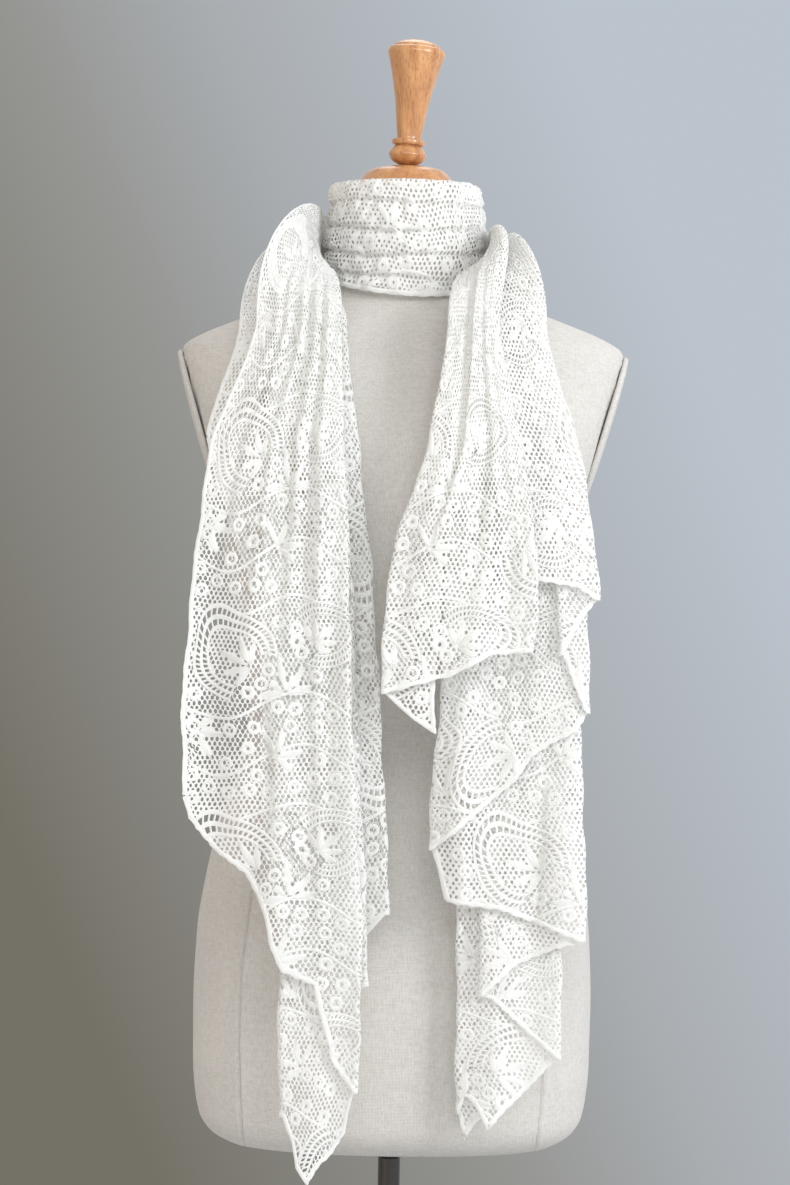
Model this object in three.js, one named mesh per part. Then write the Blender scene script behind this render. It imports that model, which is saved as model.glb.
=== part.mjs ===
import * as THREE from 'three';

// Lace shawl on a dress form. Millimetres, +Z up, front towards -Y, floor at Z = 0.

// Cloth
const WALL = 1.2;
const SEAM_GAP = 0.3;

// Form and stand
const FORM_SIDES = 32;
const HEM_HEIGHT = 608;
const NECK_TOP = 1427;
const NECK_RADIUS = 57.5;
const BASE_RADIUS = 205;
const BASE_THICKNESS = 12;
const POLE_RADIUS = 9.75;
const PLATE_THICKNESS = 7;
const PLATE_HALF_HEIGHT = 74;
const PLATE_HALF_DEPTH = 50;
const PLATE_CENTRE_HEIGHT = 1214;
const PLATE_LEAN = 0.3;
const PLATE_FACE_X = 168;
const PLATE_FROM = 1130;
const CAP_RADIUS = 43;
const CAP_HEIGHT = 19;
const FINIAL_LEAN = 4.2 * Math.PI / 180;

// Body rings: height, half width, front depth, back depth, squareness of the outline
const BODY = [
  { z: HEM_HEIGHT, half: 138, front: 84, back: 82, square: 2.2 },
  { z: 614, half: 153, front: 97, back: 95, square: 2.2 },
  { z: 628, half: 163, front: 106, back: 104, square: 2.2 },
  { z: 662, half: 169, front: 110, back: 110, square: 2.2 },
  { z: 740, half: 170, front: 112, back: 114, square: 2.2 },
  { z: 800, half: 167, front: 110, back: 110, square: 2.2 },
  { z: 860, half: 156, front: 102, back: 98, square: 2.2 },
  { z: 920, half: 136, front: 92, back: 84, square: 2.2 },
  { z: 980, half: 124, front: 88, back: 78, square: 2.2 },
  { z: 1040, half: 132, front: 94, back: 82, square: 2.2 },
  { z: 1090, half: 146, front: 108, back: 88, square: 2.3 },
  { z: 1140, half: 160, front: 118, back: 93, square: 2.4 },
  { z: 1190, half: 172, front: 114, back: 96, square: 2.5 },
  { z: 1235, half: 184, front: 100, back: 95, square: 2.6 },
  { z: 1270, half: 190, front: 86, back: 88, square: 2.6 },
  { z: 1290, half: 189, front: 78, back: 81, square: 2.5 },
  { z: 1302, half: 166, front: 73, back: 76, square: 2.4 },
  { z: 1316, half: 130, front: 65, back: 70, square: 2.0 },
  { z: 1330, half: 91, front: 59, back: 64, square: 1.6 },
  { z: 1344, half: 63, front: 58, back: 60, square: 2.0 },
  { z: 1356, half: NECK_RADIUS, front: NECK_RADIUS, back: NECK_RADIUS, square: 2.0 },
  { z: NECK_TOP, half: NECK_RADIUS, front: NECK_RADIUS, back: NECK_RADIUS, square: 2.0 },
];

// Heights at which the fold tables of the two falls are given
const LEVELS = [1300, 1200, 1100, 1000, 900, 800, 700, 600];

// How far the rearmost layer stands in front of the middle of the body at those heights
const REAR = [92, 119, 129, 131, 132, 132, 132, 132];

// Shoulder slope beside the neck: where it starts, and its fall for each millimetre outward
const SLOPE_START = { x: 58, z: 1349.5 };
const SLOPE_FALL = 0.405;
const LEAST_PLEAT = 12;
const BEND_LIFT = 9;

// Fall on the viewer's right. The cloth runs to and fro from one edge to the other: folds are the
// lines where it turns, with their x at every level, and outer is 1 on the side away from the
// middle of the body. A layer's place is its depth in the stack, 0 in front. "under" is how far
// an edge lies below the other pleats on the shoulder.
const RIGHT = {
  side: 1,
  spacing: [4.2, 4.8, 5.4, 6, 6, 6, 6, 6],
  shoulder: { start: 72.3, spacing: 4, crest: [1397, 1342] },
  middle: { side: { x: 96, z: 1358 }, chest: { x: 74, y: -115, z: 1300 } },
  folds: [
    { x: [58, 44, 34, 31, 31, 31, 31, 31], outer: 1, under: 12 },
    { x: [36, 20, -8, -13, -11, -9, -7, -6], outer: -1 },
    { x: [79, 97, 112, 107, 109, 111, 112, 114], outer: 1 },
    { x: [61, 74, 84, 86, 88, 90, 91, 93], outer: -1 },
    { x: [118, 145, 161, 164, 166, 168, 170, 171], outer: 1 },
    { x: [92, 115, 126, 131, 133, 135, 137, 138], outer: -1 },
    { x: [113, 138, 152, 156, 161, 163, 165, 167], outer: 1 },
    { x: [48, 41, 37, 35, 28, 26, 28, 30], outer: -1 },
    { x: [110, 131, 145, 148, 154, 158, 160, 162], outer: 1 },
    { x: [54, 54, 58, 61, 65, 70, 73, 75], outer: -1 },
    { x: [103, 117, 125, 129, 133, 137, 140, 142], outer: 1 },
    { x: [46, 46, 46, 48, 50, 52, 53, 55], outer: -1 },
    { x: [71, 76, 81, 84, 86, 88, 89, 91], outer: 1 },
  ],
  // One row per layer: cells across, place, and the hem as share across the layer and height
  layers: [
    { cells: 2, place: 1, hem: [[0, 966], [0.45, 977], [1, 998]] },
    { cells: 7, place: 0, hem: [[0, 998], [0.28, 1007], [0.47, 1013], [0.6, 1020], [0.74, 1030], [1, 1033]] },
    { cells: 3, place: 2, hem: [[0, 1033], [1, 1065]] },
    { cells: 3, place: 3, hem: [[0, 1065], [0.34, 1091], [0.79, 1086], [1, 1076]] },
    { cells: 2, place: 4, hem: [[0, 1076], [0.4, 1061], [1, 1031]] },
    { cells: 2, place: 5, hem: [[0, 1031], [1, 984]] },
    { cells: 8, place: 6, hem: [[0, 984], [0.07, 969], [0.23, 959], [0.37, 947], [0.47, 929], [0.72, 901],
      [1, 870]] },
    { cells: 8, place: 7, hem: [[0, 870], [0.04, 855], [0.1, 828], [0.26, 825], [0.47, 822], [0.71, 811],
      [1, 797]] },
    { cells: 3, place: 8, hem: [[0, 797], [0.26, 791], [0.67, 776], [1, 751]] },
    { cells: 4, place: 9, hem: [[0, 751], [0.16, 747], [0.61, 719], [1, 699]] },
    { cells: 5, place: 10, hem: [[0, 699], [0.25, 679], [0.58, 653], [0.72, 640], [0.88, 663], [0.96, 668],
      [1, 652]] },
    { cells: 2, place: 11, hem: [[0, 652], [0.08, 628], [0.4, 645], [1, 661]] },
  ],
};

// Fall on the viewer's left
const LEFT = {
  side: -1,
  spacing: [6, 7, 8, 8.5, 8.5, 8.5, 8.5, 8.5],
  shoulder: { start: 72.4, spacing: 7.8, crest: [1405, 1366] },
  middle: { side: { x: 96, z: 1362 }, chest: { x: 86, y: -108, z: 1300 } },
  folds: [
    { x: [-122, -155, -167, -174, -173, -172, -170, -168], outer: 1 },
    { x: [-51, -47, -41, -37, -31, -25, -26, -29], outer: -1 },
    { x: [-106, -112, -113, -111, -108, -94, -92, -89], outer: 1 },
    { x: [-56, -47, -39, -33, -27, -21, -19, -17], outer: -1 },
    { x: [-102, -100, -94, -88, -82, -76, -75, -73], outer: 1 },
    { x: [-47, -35, -23, -15, -8, -2, 0, 2], outer: -1 },
    { x: [-137, -163, -161, -159, -158, -156, -154, -152], outer: 1 },
  ],
  layers: [
    { cells: 9, place: 0, hem: [[0, 911], [0.04, 895], [0.2, 867], [0.37, 849], [0.44, 829], [0.5, 796],
      [0.57, 771], [0.76, 760], [0.8, 732], [0.87, 699], [1, 673]] },
    { cells: 6, place: 1, hem: [[0, 673], [0.06, 639], [0.29, 620], [0.45, 613], [0.64, 597], [0.84, 613],
      [0.88, 631], [1, 652]] },
    { cells: 5, place: 2, hem: [[0, 652], [0.1, 695], [0.5, 732], [1, 758]] },
    { cells: 3, place: 3, hem: [[0, 758], [1, 777]] },
    { cells: 5, place: 4, hem: [[0, 777], [0.76, 798], [1, 815]] },
    { cells: 9, place: 5, hem: [[0, 815], [0.3, 908], [0.69, 1071], [0.9, 1169], [1, 1204]] },
  ],
};

// Rows down a fall: turn behind the neck in degrees, share of the bend over the shoulder, level
// rows down to LEVEL_END or a share of the way to a high hem, and shares of the rest to the hem
const NAPE_TURNS = [74, 50, 25];
const BEND_SHARES = [0, 0.22, 0.42, 0.62, 0.81];
const LEVEL_SHARES = [0, 0.5, 1];
const LEVEL_END = 1220;
const LEVEL_END_SHARE = 0.4;
const HEM_SHARES = [0.11, 0.23, 0.36, 0.49, 0.62, 0.75, 0.88, 1];

// Shallow folds: how far they stand out, half their width over pi, and how they drift downwards
const RIPPLES = [
  { rise: 3.2, width: 13, drift: 140, start: 0 },
  { rise: 1.8, width: 7.5, drift: -95, start: 1 },
];
const RIPPLE_TOP = 1290;
const RIPPLE_RUN = 200;

function lerp(a, b, f) {
  return a + (b - a) * f;
}

// Smooth value of a table column at a height
function column(values, z) {
  const last = LEVELS.length - 1;
  if (z >= LEVELS[0]) return values[0];
  if (z <= LEVELS[last]) return values[last];
  let i = 0;
  while (z < LEVELS[i + 1]) i++;
  const f = (LEVELS[i] - z) / (LEVELS[i] - LEVELS[i + 1]);
  const before = values[Math.max(i - 1, 0)];
  const after = values[Math.min(i + 2, last)];
  const slopeA = (values[i + 1] - before) / 2;
  const slopeB = (after - values[i]) / 2;
  const f2 = f * f;
  const f3 = f2 * f;
  return (2 * f3 - 3 * f2 + 1) * values[i] + (f3 - 2 * f2 + f) * slopeA
    + (3 * f2 - 2 * f3) * values[i + 1] + (f3 - f2) * slopeB;
}

// Value along a list of [share, value] pairs
function along(pairs, f) {
  let i = 0;
  while (i < pairs.length - 2 && f > pairs[i + 1][0]) i++;
  const g = (f - pairs[i][0]) / (pairs[i + 1][0] - pairs[i][0]);
  return lerp(pairs[i][1], pairs[i + 1][1], Math.min(Math.max(g, 0), 1));
}

// Shallow folds are shared by all layers, so that layers keep their distance
function ripple(x, z) {
  const low = Math.min(Math.max((RIPPLE_TOP - z) / RIPPLE_RUN, 0), 1);
  const wave = ({ rise, width, drift, start }) => rise * Math.sin(x / width + z / drift + start);
  return low * RIPPLES.reduce((sum, row) => sum + wave(row), 0);
}

// Columns of a fall: which layer, share across it, and whether it is the turn before the layer
function fallColumns(fall) {
  const list = [];
  fall.layers.forEach(({ cells }, j) => {
    if (j > 0) list.push({ j, f: 0, tip: true });
    for (let i = 0; i <= cells; i++) list.push({ j, f: i / cells, tip: false });
  });
  return list;
}

// Depth of a fold in the stack, and its turning radius, both in layer spacings. A free edge has
// the same layer on both sides, and so no turn.
function foldTurn(fall, k) {
  const before = fall.layers[Math.max(k - 1, 0)].place;
  const after = fall.layers[Math.min(k, fall.layers.length - 1)].place;
  return { depth: (before + after) / 2, radius: Math.abs(after - before) / 2 };
}

function depthOf(fall, col) {
  return col.tip ? foldTurn(fall, col.j).depth : fall.layers[col.j].place;
}

// Place across the section, kept one turning radius in from the folds
function across(fall, col, start, end, spacing) {
  if (col.tip) return start;
  const inset = (k) => foldTurn(fall, k).radius * spacing * fall.folds[k].outer;
  return lerp(start - inset(col.j), end - inset(col.j + 1), col.f);
}

// Point of the middle surface in front of the chest, at a given height. Widths are counted
// outward from the middle of the body, so both falls use the same rules.
function frontPoint(fall, col, z) {
  const spacing = column(fall.spacing, z);
  const start = fall.side * column(fall.folds[col.j].x, z);
  const end = fall.side * column(fall.folds[col.j + 1].x, z);
  const out = across(fall, col, start, end, spacing);
  const layersBehind = fall.layers.length - 1 - depthOf(fall, col);
  const y = -column(REAR, z) - layersBehind * spacing + ripple(fall.side * out, z);
  return new THREE.Vector3(out, y, z);
}

// Shoulder slope beside the neck
function slope(out) {
  return SLOPE_START.z - (out - SLOPE_START.x) * SLOPE_FALL;
}

// Height on the shoulder of one fold: at the top of the bundle or down on the slope
function foldHeight(fall, k) {
  const { start, spacing, crest } = fall.shoulder;
  const { outer, under = 0 } = fall.folds[k];
  const { depth } = foldTurn(fall, k);
  const foot = slope(start + (depth - 0.5) * spacing) + WALL;
  if (outer < 0) return foot;
  const share = depth / (fall.layers.length - 1);
  return Math.max(lerp(crest[0], crest[1], share), foot + LEAST_PLEAT) - under;
}

// Point of the middle surface on the shoulder beside the neck
function sidePoint(fall, col) {
  const { start, spacing } = fall.shoulder;
  const z = across(fall, col, foldHeight(fall, col.j), foldHeight(fall, col.j + 1), spacing);
  return new THREE.Vector3(start + depthOf(fall, col) * spacing, 0, z);
}

// The same point turned round the neck towards the nape
function turnedPoint(fall, col, turn) {
  const p = sidePoint(fall, col);
  const angle = turn * Math.PI / 180;
  return new THREE.Vector3(p.x * Math.cos(angle), p.x * Math.sin(angle), p.z);
}

// Point on the way from the shoulder down to the chest. The section bends forward by a quarter
// turn while it twists by a quarter turn, so that standing pleats come to lie on the chest.
function bendPoint(fall, col, f) {
  const p = sidePoint(fall, col);
  const q = frontPoint(fall, col, LEVELS[0]);
  const { side, chest } = fall.middle;
  const share = f * f * (3 - 2 * f);
  const width = lerp(p.z - side.z, q.x - chest.x, share);
  const depth = lerp(p.x - side.x, q.y - chest.y, share);
  const bend = f * Math.PI / 2;
  const twist = (1 - share) * Math.PI / 2;
  const centre = new THREE.Vector3(
    lerp(side.x, chest.x, share),
    chest.y * Math.sin(bend),
    lerp(chest.z, side.z, Math.cos(bend)) + BEND_LIFT * Math.sin(2 * bend),
  );
  const wide = new THREE.Vector3(1, 0, 0);
  const deep = new THREE.Vector3(0, Math.sin(bend), -Math.cos(bend));
  return centre
    .addScaledVector(wide, width * Math.cos(twist) + depth * Math.sin(twist))
    .addScaledVector(deep, depth * Math.cos(twist) - width * Math.sin(twist));
}

// Middle points of a fall, column by column from the nape down to the hem
function fallGrid(fall) {
  return fallColumns(fall).map((col) => {
    const hem = along(fall.layers[col.j].hem, col.f);
    const start = Math.min(LEVEL_END, lerp(LEVELS[0], hem, LEVEL_END_SHARE));
    const points = [
      ...NAPE_TURNS.map((turn) => turnedPoint(fall, col, turn)),
      ...BEND_SHARES.map((f) => bendPoint(fall, col, f)),
      ...LEVEL_SHARES.map((f) => frontPoint(fall, col, lerp(LEVELS[0], start, f))),
      ...HEM_SHARES.map((f) => frontPoint(fall, col, lerp(start, hem, f))),
    ];
    return points.map((p) => new THREE.Vector3(fall.side * p.x, p.y, p.z));
  });
}

// Closed wall round a grid of middle points; "closed" joins the last column to the first
function wall(grid, thickness, closed, holes, swaps) {
  const nc = grid.length;
  const nr = grid[0].length;
  const at = (i, k) => grid[closed ? (i + nc) % nc : Math.min(Math.max(i, 0), nc - 1)][
    Math.min(Math.max(k, 0), nr - 1)];
  const vertices = [];
  const faces = [];
  for (const sign of [1, -1]) {
    for (let i = 0; i < nc; i++) {
      for (let k = 0; k < nr; k++) {
        const across = at(i + 1, k).clone().sub(at(i - 1, k));
        const down = at(i, k + 1).clone().sub(at(i, k - 1));
        const normal = across.cross(down).normalize();
        const p = grid[i][k].clone().addScaledVector(normal, sign * thickness / 2);
        vertices.push(p.x, p.y, p.z);
      }
    }
  }
  const id = (side, i, k) => side * nc * nr + ((i + nc) % nc) * nr + k;
  const add = (p) => {
    vertices.push(p[0], p[1], p[2]);
    return vertices.length / 3 - 1;
  };
  const point = (n) => [vertices[3 * n], vertices[3 * n + 1], vertices[3 * n + 2]];
  const mix = (q, u, v) => [0, 1, 2].map((d) => lerp(lerp(point(q[0])[d], point(q[1])[d], u),
    lerp(point(q[3])[d], point(q[2])[d], u), v));
  // Four corners as two triangles, cut along the first diagonal or the second
  const quad = (a, b, c, d, second = false) => {
    if (second) faces.push(a, b, d, b, c, d);
    else faces.push(a, b, c, a, c, d);
  };
  const columns = closed ? nc : nc - 1;
  for (let i = 0; i < columns; i++) {
    for (let k = 0; k < nr - 1; k++) {
      const outer = [id(0, i, k), id(0, i + 1, k), id(0, i + 1, k + 1), id(0, i, k + 1)];
      const inner = [id(1, i, k), id(1, i + 1, k), id(1, i + 1, k + 1), id(1, i, k + 1)];
      const hole = holes && holes(i, k, outer.map(point));
      if (!hole) {
        quad(...outer, swaps && swaps(i));
        quad(...[...inner].reverse(), !(swaps && swaps(i)));
        continue;
      }
      const spots = [[-1, -1], [1, -1], [1, 1], [-1, 1]].map(([u, v]) => [
        0.5 + u * hole[0], 0.5 + v * hole[1]]);
      const rimOuter = spots.map(([u, v]) => add(mix(outer, u, v)));
      const rimInner = spots.map(([u, v]) => add(mix(inner, u, v)));
      for (let e = 0; e < 4; e++) {
        const n = (e + 1) % 4;
        quad(outer[e], outer[n], rimOuter[n], rimOuter[e]);
        quad(inner[n], inner[e], rimInner[e], rimInner[n]);
        quad(rimOuter[e], rimOuter[n], rimInner[n], rimInner[e]);
      }
    }
    quad(id(0, i + 1, 0), id(0, i, 0), id(1, i, 0), id(1, i + 1, 0));
    quad(id(0, i, nr - 1), id(0, i + 1, nr - 1), id(1, i + 1, nr - 1), id(1, i, nr - 1));
  }
  if (!closed) {
    for (let k = 0; k < nr - 1; k++) {
      quad(id(0, 0, k), id(0, 0, k + 1), id(1, 0, k + 1), id(1, 0, k));
      quad(id(0, nc - 1, k + 1), id(0, nc - 1, k), id(1, nc - 1, k), id(1, nc - 1, k + 1));
    }
  }
  const geometry = new THREE.BufferGeometry();
  geometry.setAttribute('position', new THREE.Float32BufferAttribute(vertices, 3));
  geometry.setIndex(faces);
  return geometry;
}

// Turn a closed mesh outward if its volume comes out negative
function outward(geometry) {
  const p = geometry.attributes.position;
  const index = geometry.index.array;
  let volume = 0;
  const a = new THREE.Vector3();
  const b = new THREE.Vector3();
  const c = new THREE.Vector3();
  for (let i = 0; i < index.length; i += 3) {
    a.fromBufferAttribute(p, index[i]);
    b.fromBufferAttribute(p, index[i + 1]);
    c.fromBufferAttribute(p, index[i + 2]);
    volume += a.dot(b.cross(c));
  }
  if (volume < 0) {
    for (let i = 0; i < index.length; i += 3) {
      const keep = index[i];
      index[i] = index[i + 1];
      index[i + 1] = keep;
    }
  }
  geometry.computeVertexNormals();
  return geometry;
}

// Openings of the lace lie on rings like the scrolls of the pattern, and only in cells of the
// wall that are this many times the gap's own size
const SCROLL_ROW = 150;
const SCROLL_COLUMN = 120;
const SCROLL_RADIUS = 34;
const SCROLL_BAND = 11;
const GAP_WIDTH = 5.5;
const GAP_LENGTH = 9.5;
const CELL_WIDTH = 1.7;
const CELL_LENGTH = 1.5;
const GAPS_FROM_ROW = 9;

// Layers run to and fro, so every other one is cut along the other diagonal: their faces stay level
function everyOther(fall) {
  const columns = fallColumns(fall);
  return (i) => columns[i].j % 2 === 1;
}

function laceHoles(fall, visible) {
  const columns = fallColumns(fall);
  return (i, k, corner) => {
    if (columns[i].tip || columns[i + 1].tip || k < GAPS_FROM_ROW) return null;
    if (!visible.includes(columns[i].j)) return null;
    const mid = [0, 1, 2].map((d) => (corner[0][d] + corner[1][d] + corner[2][d] + corner[3][d]) / 4);
    const dist = (p, q) => Math.hypot(p[0] - q[0], p[1] - q[1], p[2] - q[2]);
    const width = Math.min(dist(corner[0], corner[1]), dist(corner[3], corner[2]));
    const height = Math.min(dist(corner[0], corner[3]), dist(corner[1], corner[2]));
    if (width < GAP_WIDTH * CELL_WIDTH || height < GAP_LENGTH * CELL_LENGTH) return null;
    const row = Math.round(mid[2] / SCROLL_ROW);
    const shift = row % 2 ? SCROLL_COLUMN / 2 : 0;
    const dx = mid[0] - shift - SCROLL_COLUMN * Math.round((mid[0] - shift) / SCROLL_COLUMN);
    const dz = mid[2] - SCROLL_ROW * row;
    const r = Math.hypot(dx, dz);
    if (Math.abs(r - SCROLL_RADIUS) > SCROLL_BAND) return null;
    return [GAP_WIDTH / width / 2, GAP_LENGTH / height / 2];
  };
}

// Neck wrap: rings from top to bottom, radius and height, the front hanging lower than the back
const WRAP_SIDES = 28;
const WRAP_CREASE = 0.8;
const WRAP_LIFT = { all: 8, back: 20, twist: 2 };
const WRAP = [
  { r: 61.5, z: 1428 },
  { r: 63.5, z: 1423 },
  { r: 63.4, z: 1416 },
  { r: 59.3, z: 1412 },
  { r: 65.5, z: 1406 },
  { r: 66.6, z: 1396 },
  { r: 60.5, z: 1391 },
  { r: 66.8, z: 1386 },
  { r: 67.6, z: 1376 },
  { r: 61.5, z: 1371 },
  { r: 67.4, z: 1366 },
  { r: 67.2, z: 1357 },
  { r: 62.5, z: 1353 },
  { r: 67.4, z: 1348 },
  { r: 68.2, z: 1341 },
];

function wrapGrid() {
  const grid = [];
  const top = WRAP[0].z;
  const low = WRAP[WRAP.length - 1].z;
  for (let i = 0; i < WRAP_SIDES; i++) {
    const angle = i / WRAP_SIDES * 2 * Math.PI;
    const back = Math.sin(angle);
    grid.push(WRAP.map(({ r, z }) => {
      const share = (top - z) / (top - low);
      const crease = WRAP_CREASE * (1 + Math.sin(3 * angle + z / 11));
      const lift = share * (WRAP_LIFT.all + WRAP_LIFT.back * back + WRAP_LIFT.twist * Math.sin(2 * angle));
      return new THREE.Vector3((r + crease) * Math.cos(angle), (r + crease) * Math.sin(angle), z + lift);
    }));
  }
  return grid;
}

// Nape crossing: a pleated stretch laid over the two gathered ends behind the neck
const NAPE_COLUMNS = 12;
const NAPE_SPREAD = 52;
const NAPE_SLANT = 7;
const NAPE = [
  { r: 69.1, z: 1408 },
  { r: 77, z: 1411 },
  { r: 86, z: 1406 },
  { r: 91, z: 1399 },
  { r: 100, z: 1394 },
  { r: 105, z: 1386 },
  { r: 113, z: 1380 },
  { r: 117.5, z: 1367 },
  { r: 122, z: 1358 },
  { r: 121.5, z: 1345 },
  { r: 125, z: 1335 },
  { r: 123.5, z: 1317 },
];

function napeGrid() {
  const grid = [];
  for (let i = 0; i <= NAPE_COLUMNS; i++) {
    const f = i / NAPE_COLUMNS * 2 - 1;
    const angle = (90 + f * NAPE_SPREAD) * Math.PI / 180;
    grid.push(NAPE.map(({ r, z }, k) => {
      const slant = NAPE_SLANT * f * k / NAPE.length;
      return new THREE.Vector3(r * Math.cos(angle), r * Math.sin(angle), z + slant);
    }));
  }
  return grid;
}

// Body from its rings, with flat ends, and flat sides where the arm plates sit
function torso() {
  const vertices = [];
  const faces = [];
  const n = FORM_SIDES;
  for (const ring of BODY) {
    for (let i = 0; i < n; i++) {
      const angle = i / n * 2 * Math.PI;
      const c = Math.cos(angle);
      const s = Math.sin(angle);
      const power = 2 / ring.square;
      let x = ring.half * Math.sign(c) * Math.abs(c) ** power;
      const depth = s < 0 ? ring.front : ring.back;
      const y = depth * Math.sign(s) * Math.abs(s) ** power;
      const limit = PLATE_FACE_X + (ring.z - PLATE_CENTRE_HEIGHT) * PLATE_LEAN;
      if (ring.z > PLATE_FROM && Math.abs(x) > limit) x = Math.sign(x) * limit;
      vertices.push(x, y, ring.z);
    }
  }
  for (let k = 0; k < BODY.length - 1; k++) {
    for (let i = 0; i < n; i++) {
      const j = (i + 1) % n;
      faces.push(k * n + i, k * n + j, (k + 1) * n + j, k * n + i, (k + 1) * n + j, (k + 1) * n + i);
    }
  }
  const last = (BODY.length - 1) * n;
  vertices.push(0, 0, BODY[0].z, 0, 0, NECK_TOP);
  const low = BODY.length * n;
  for (let i = 0; i < n; i++) {
    const j = (i + 1) % n;
    faces.push(low, j, i, low + 1, last + i, last + j);
  }
  const geometry = new THREE.BufferGeometry();
  geometry.setAttribute('position', new THREE.Float32BufferAttribute(vertices, 3));
  geometry.setIndex(faces);
  return geometry;
}

// Oval plate with a low dome, on the flat of the armhole
function armPlate(side) {
  const profile = [
    new THREE.Vector2(0, 0),
    new THREE.Vector2(1, 0),
    new THREE.Vector2(1, PLATE_THICKNESS * 0.55),
    new THREE.Vector2(0.94, PLATE_THICKNESS * 0.85),
    new THREE.Vector2(0.7, PLATE_THICKNESS),
    new THREE.Vector2(0, PLATE_THICKNESS * 1.25),
  ];
  const geometry = new THREE.LatheGeometry(profile, 24);
  geometry.scale(PLATE_HALF_DEPTH, 1, PLATE_HALF_HEIGHT);
  // The lathe axis Y points out of the armhole; its Z becomes the plate's height
  geometry.rotateZ(-Math.PI / 2);
  const tilt = Math.atan(PLATE_LEAN);
  const out = new THREE.Vector3(side * Math.cos(tilt), 0, -Math.sin(tilt));
  const up = new THREE.Vector3(side * Math.sin(tilt), 0, Math.cos(tilt));
  geometry.applyMatrix4(new THREE.Matrix4().makeBasis(out, new THREE.Vector3(0, side, 0), up));
  geometry.translate(side * PLATE_FACE_X + out.x * SEAM_GAP, 0, PLATE_CENTRE_HEIGHT + out.z * SEAM_GAP);
  return geometry;
}

// Turned piece from pairs of radius and height
function turned(pairs, sides) {
  const geometry = new THREE.LatheGeometry(pairs.map(([r, z]) => new THREE.Vector2(r, z)), sides);
  geometry.rotateX(Math.PI / 2);
  return geometry;
}

function neckCap() {
  const z = NECK_TOP + SEAM_GAP;
  return turned([
    [0, z], [CAP_RADIUS - 1, z], [CAP_RADIUS, z + 1.5], [CAP_RADIUS - 1.5, z + 4],
    [CAP_RADIUS * 0.75, z + CAP_HEIGHT * 0.75], [CAP_RADIUS * 0.4, z + CAP_HEIGHT * 0.95],
    [0, z + CAP_HEIGHT],
  ], 32);
}

// Knob on the neck: bead, collar, flared grip, groove and domed top
const KNOB = [
  [0, 0], [7, 0], [13, 3], [16, 7.5], [16, 10], [13.5, 14.5], [11, 16.5],
  [14, 17.5], [14, 21.5], [10.5, 22.5],
  [12, 35], [15.5, 58], [21, 82], [24.5, 94], [25, 96.5],
  [24, 99.5], [22, 101], [21.2, 101.3],
  [19.5, 103.5], [13, 106.6], [6, 107.8], [0, 108],
];

function finial() {
  const geometry = turned(KNOB, 16);
  geometry.rotateY(FINIAL_LEAN);
  geometry.translate(0, 0, NECK_TOP + CAP_HEIGHT + SEAM_GAP * 3);
  return geometry;
}

function standBase() {
  return turned([
    [0, 0], [BASE_RADIUS, 0], [BASE_RADIUS, BASE_THICKNESS * 0.5], [BASE_RADIUS - 4, BASE_THICKNESS * 0.8],
    [BASE_RADIUS * 0.6, BASE_THICKNESS], [0, BASE_THICKNESS],
  ], 32);
}

// Pole with a cone on the base and a flange under the body
const FOOT_RADIUS = 24;
const FLANGE_RADIUS = 22;
const FLANGE_THICKNESS = 10;

function standPole() {
  const foot = BASE_THICKNESS;
  const top = HEM_HEIGHT - SEAM_GAP;
  return turned([
    [0, foot + SEAM_GAP], [FOOT_RADIUS, foot + SEAM_GAP], [FOOT_RADIUS, foot + 8],
    [FOOT_RADIUS - 10, foot + 20], [POLE_RADIUS, foot + 24], [POLE_RADIUS, top - FLANGE_THICKNESS - 4],
    [FLANGE_RADIUS, top - FLANGE_THICKNESS], [FLANGE_RADIUS, top], [0, top],
  ], 24);
}

// Lathe seams and poles are merged by position, and faces without area are dropped
function welded(source) {
  const p = source.attributes.position;
  const index = source.index ? source.index.array : [...Array(p.count).keys()];
  const seen = new Map();
  const vertices = [];
  const ids = [];
  for (let i = 0; i < p.count; i++) {
    const key = [p.getX(i), p.getY(i), p.getZ(i)].map((v) => Math.round(v * 2000)).join(',');
    if (!seen.has(key)) {
      seen.set(key, vertices.length / 3);
      vertices.push(p.getX(i), p.getY(i), p.getZ(i));
    }
    ids.push(seen.get(key));
  }
  const faces = [];
  for (let i = 0; i < index.length; i += 3) {
    const [a, b, c] = [ids[index[i]], ids[index[i + 1]], ids[index[i + 2]]];
    if (a !== b && b !== c && c !== a) faces.push(a, b, c);
  }
  const geometry = new THREE.BufferGeometry();
  geometry.setAttribute('position', new THREE.Float32BufferAttribute(vertices, 3));
  geometry.setIndex(faces);
  return outward(geometry);
}

const group = new THREE.Group();

function put(name, geometry, color, roughness, metalness = 0) {
  const material = new THREE.MeshStandardMaterial({ color, roughness, metalness });
  const mesh = new THREE.Mesh(welded(geometry), material);
  mesh.name = name;
  group.add(mesh);
}

put('form_torso', torso(), 0xcfc8ba, 0.9);
put('form_arm_plate_left', armPlate(-1), 0xc6bead, 0.9);
put('form_arm_plate_right', armPlate(1), 0xc6bead, 0.9);
put('form_neck_cap', neckCap(), 0x9a5a2a, 0.35);
put('form_finial', finial(), 0xa5612c, 0.3);
put('stand_pole', standPole(), 0x4c4b4a, 0.3, 0.9);
put('stand_base', standBase(), 0x3d3c3b, 0.4, 0.9);
put('shawl_neck_wrap', wall(wrapGrid(), WALL, true), 0xefeade, 0.85);
put('shawl_nape_crossing', wall(napeGrid(), WALL, false), 0xeee8db, 0.85);
put('shawl_fall_left', wall(fallGrid(LEFT), WALL, false, laceHoles(LEFT, [0, 1, 5]),
  everyOther(LEFT)), 0xe9e5db, 0.85);
put('shawl_fall_right', wall(fallGrid(RIGHT), WALL, false, laceHoles(RIGHT, [0, 1, 6, 7, 9, 10]),
  everyOther(RIGHT)), 0xf1ede2, 0.85);

export default group;
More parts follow.
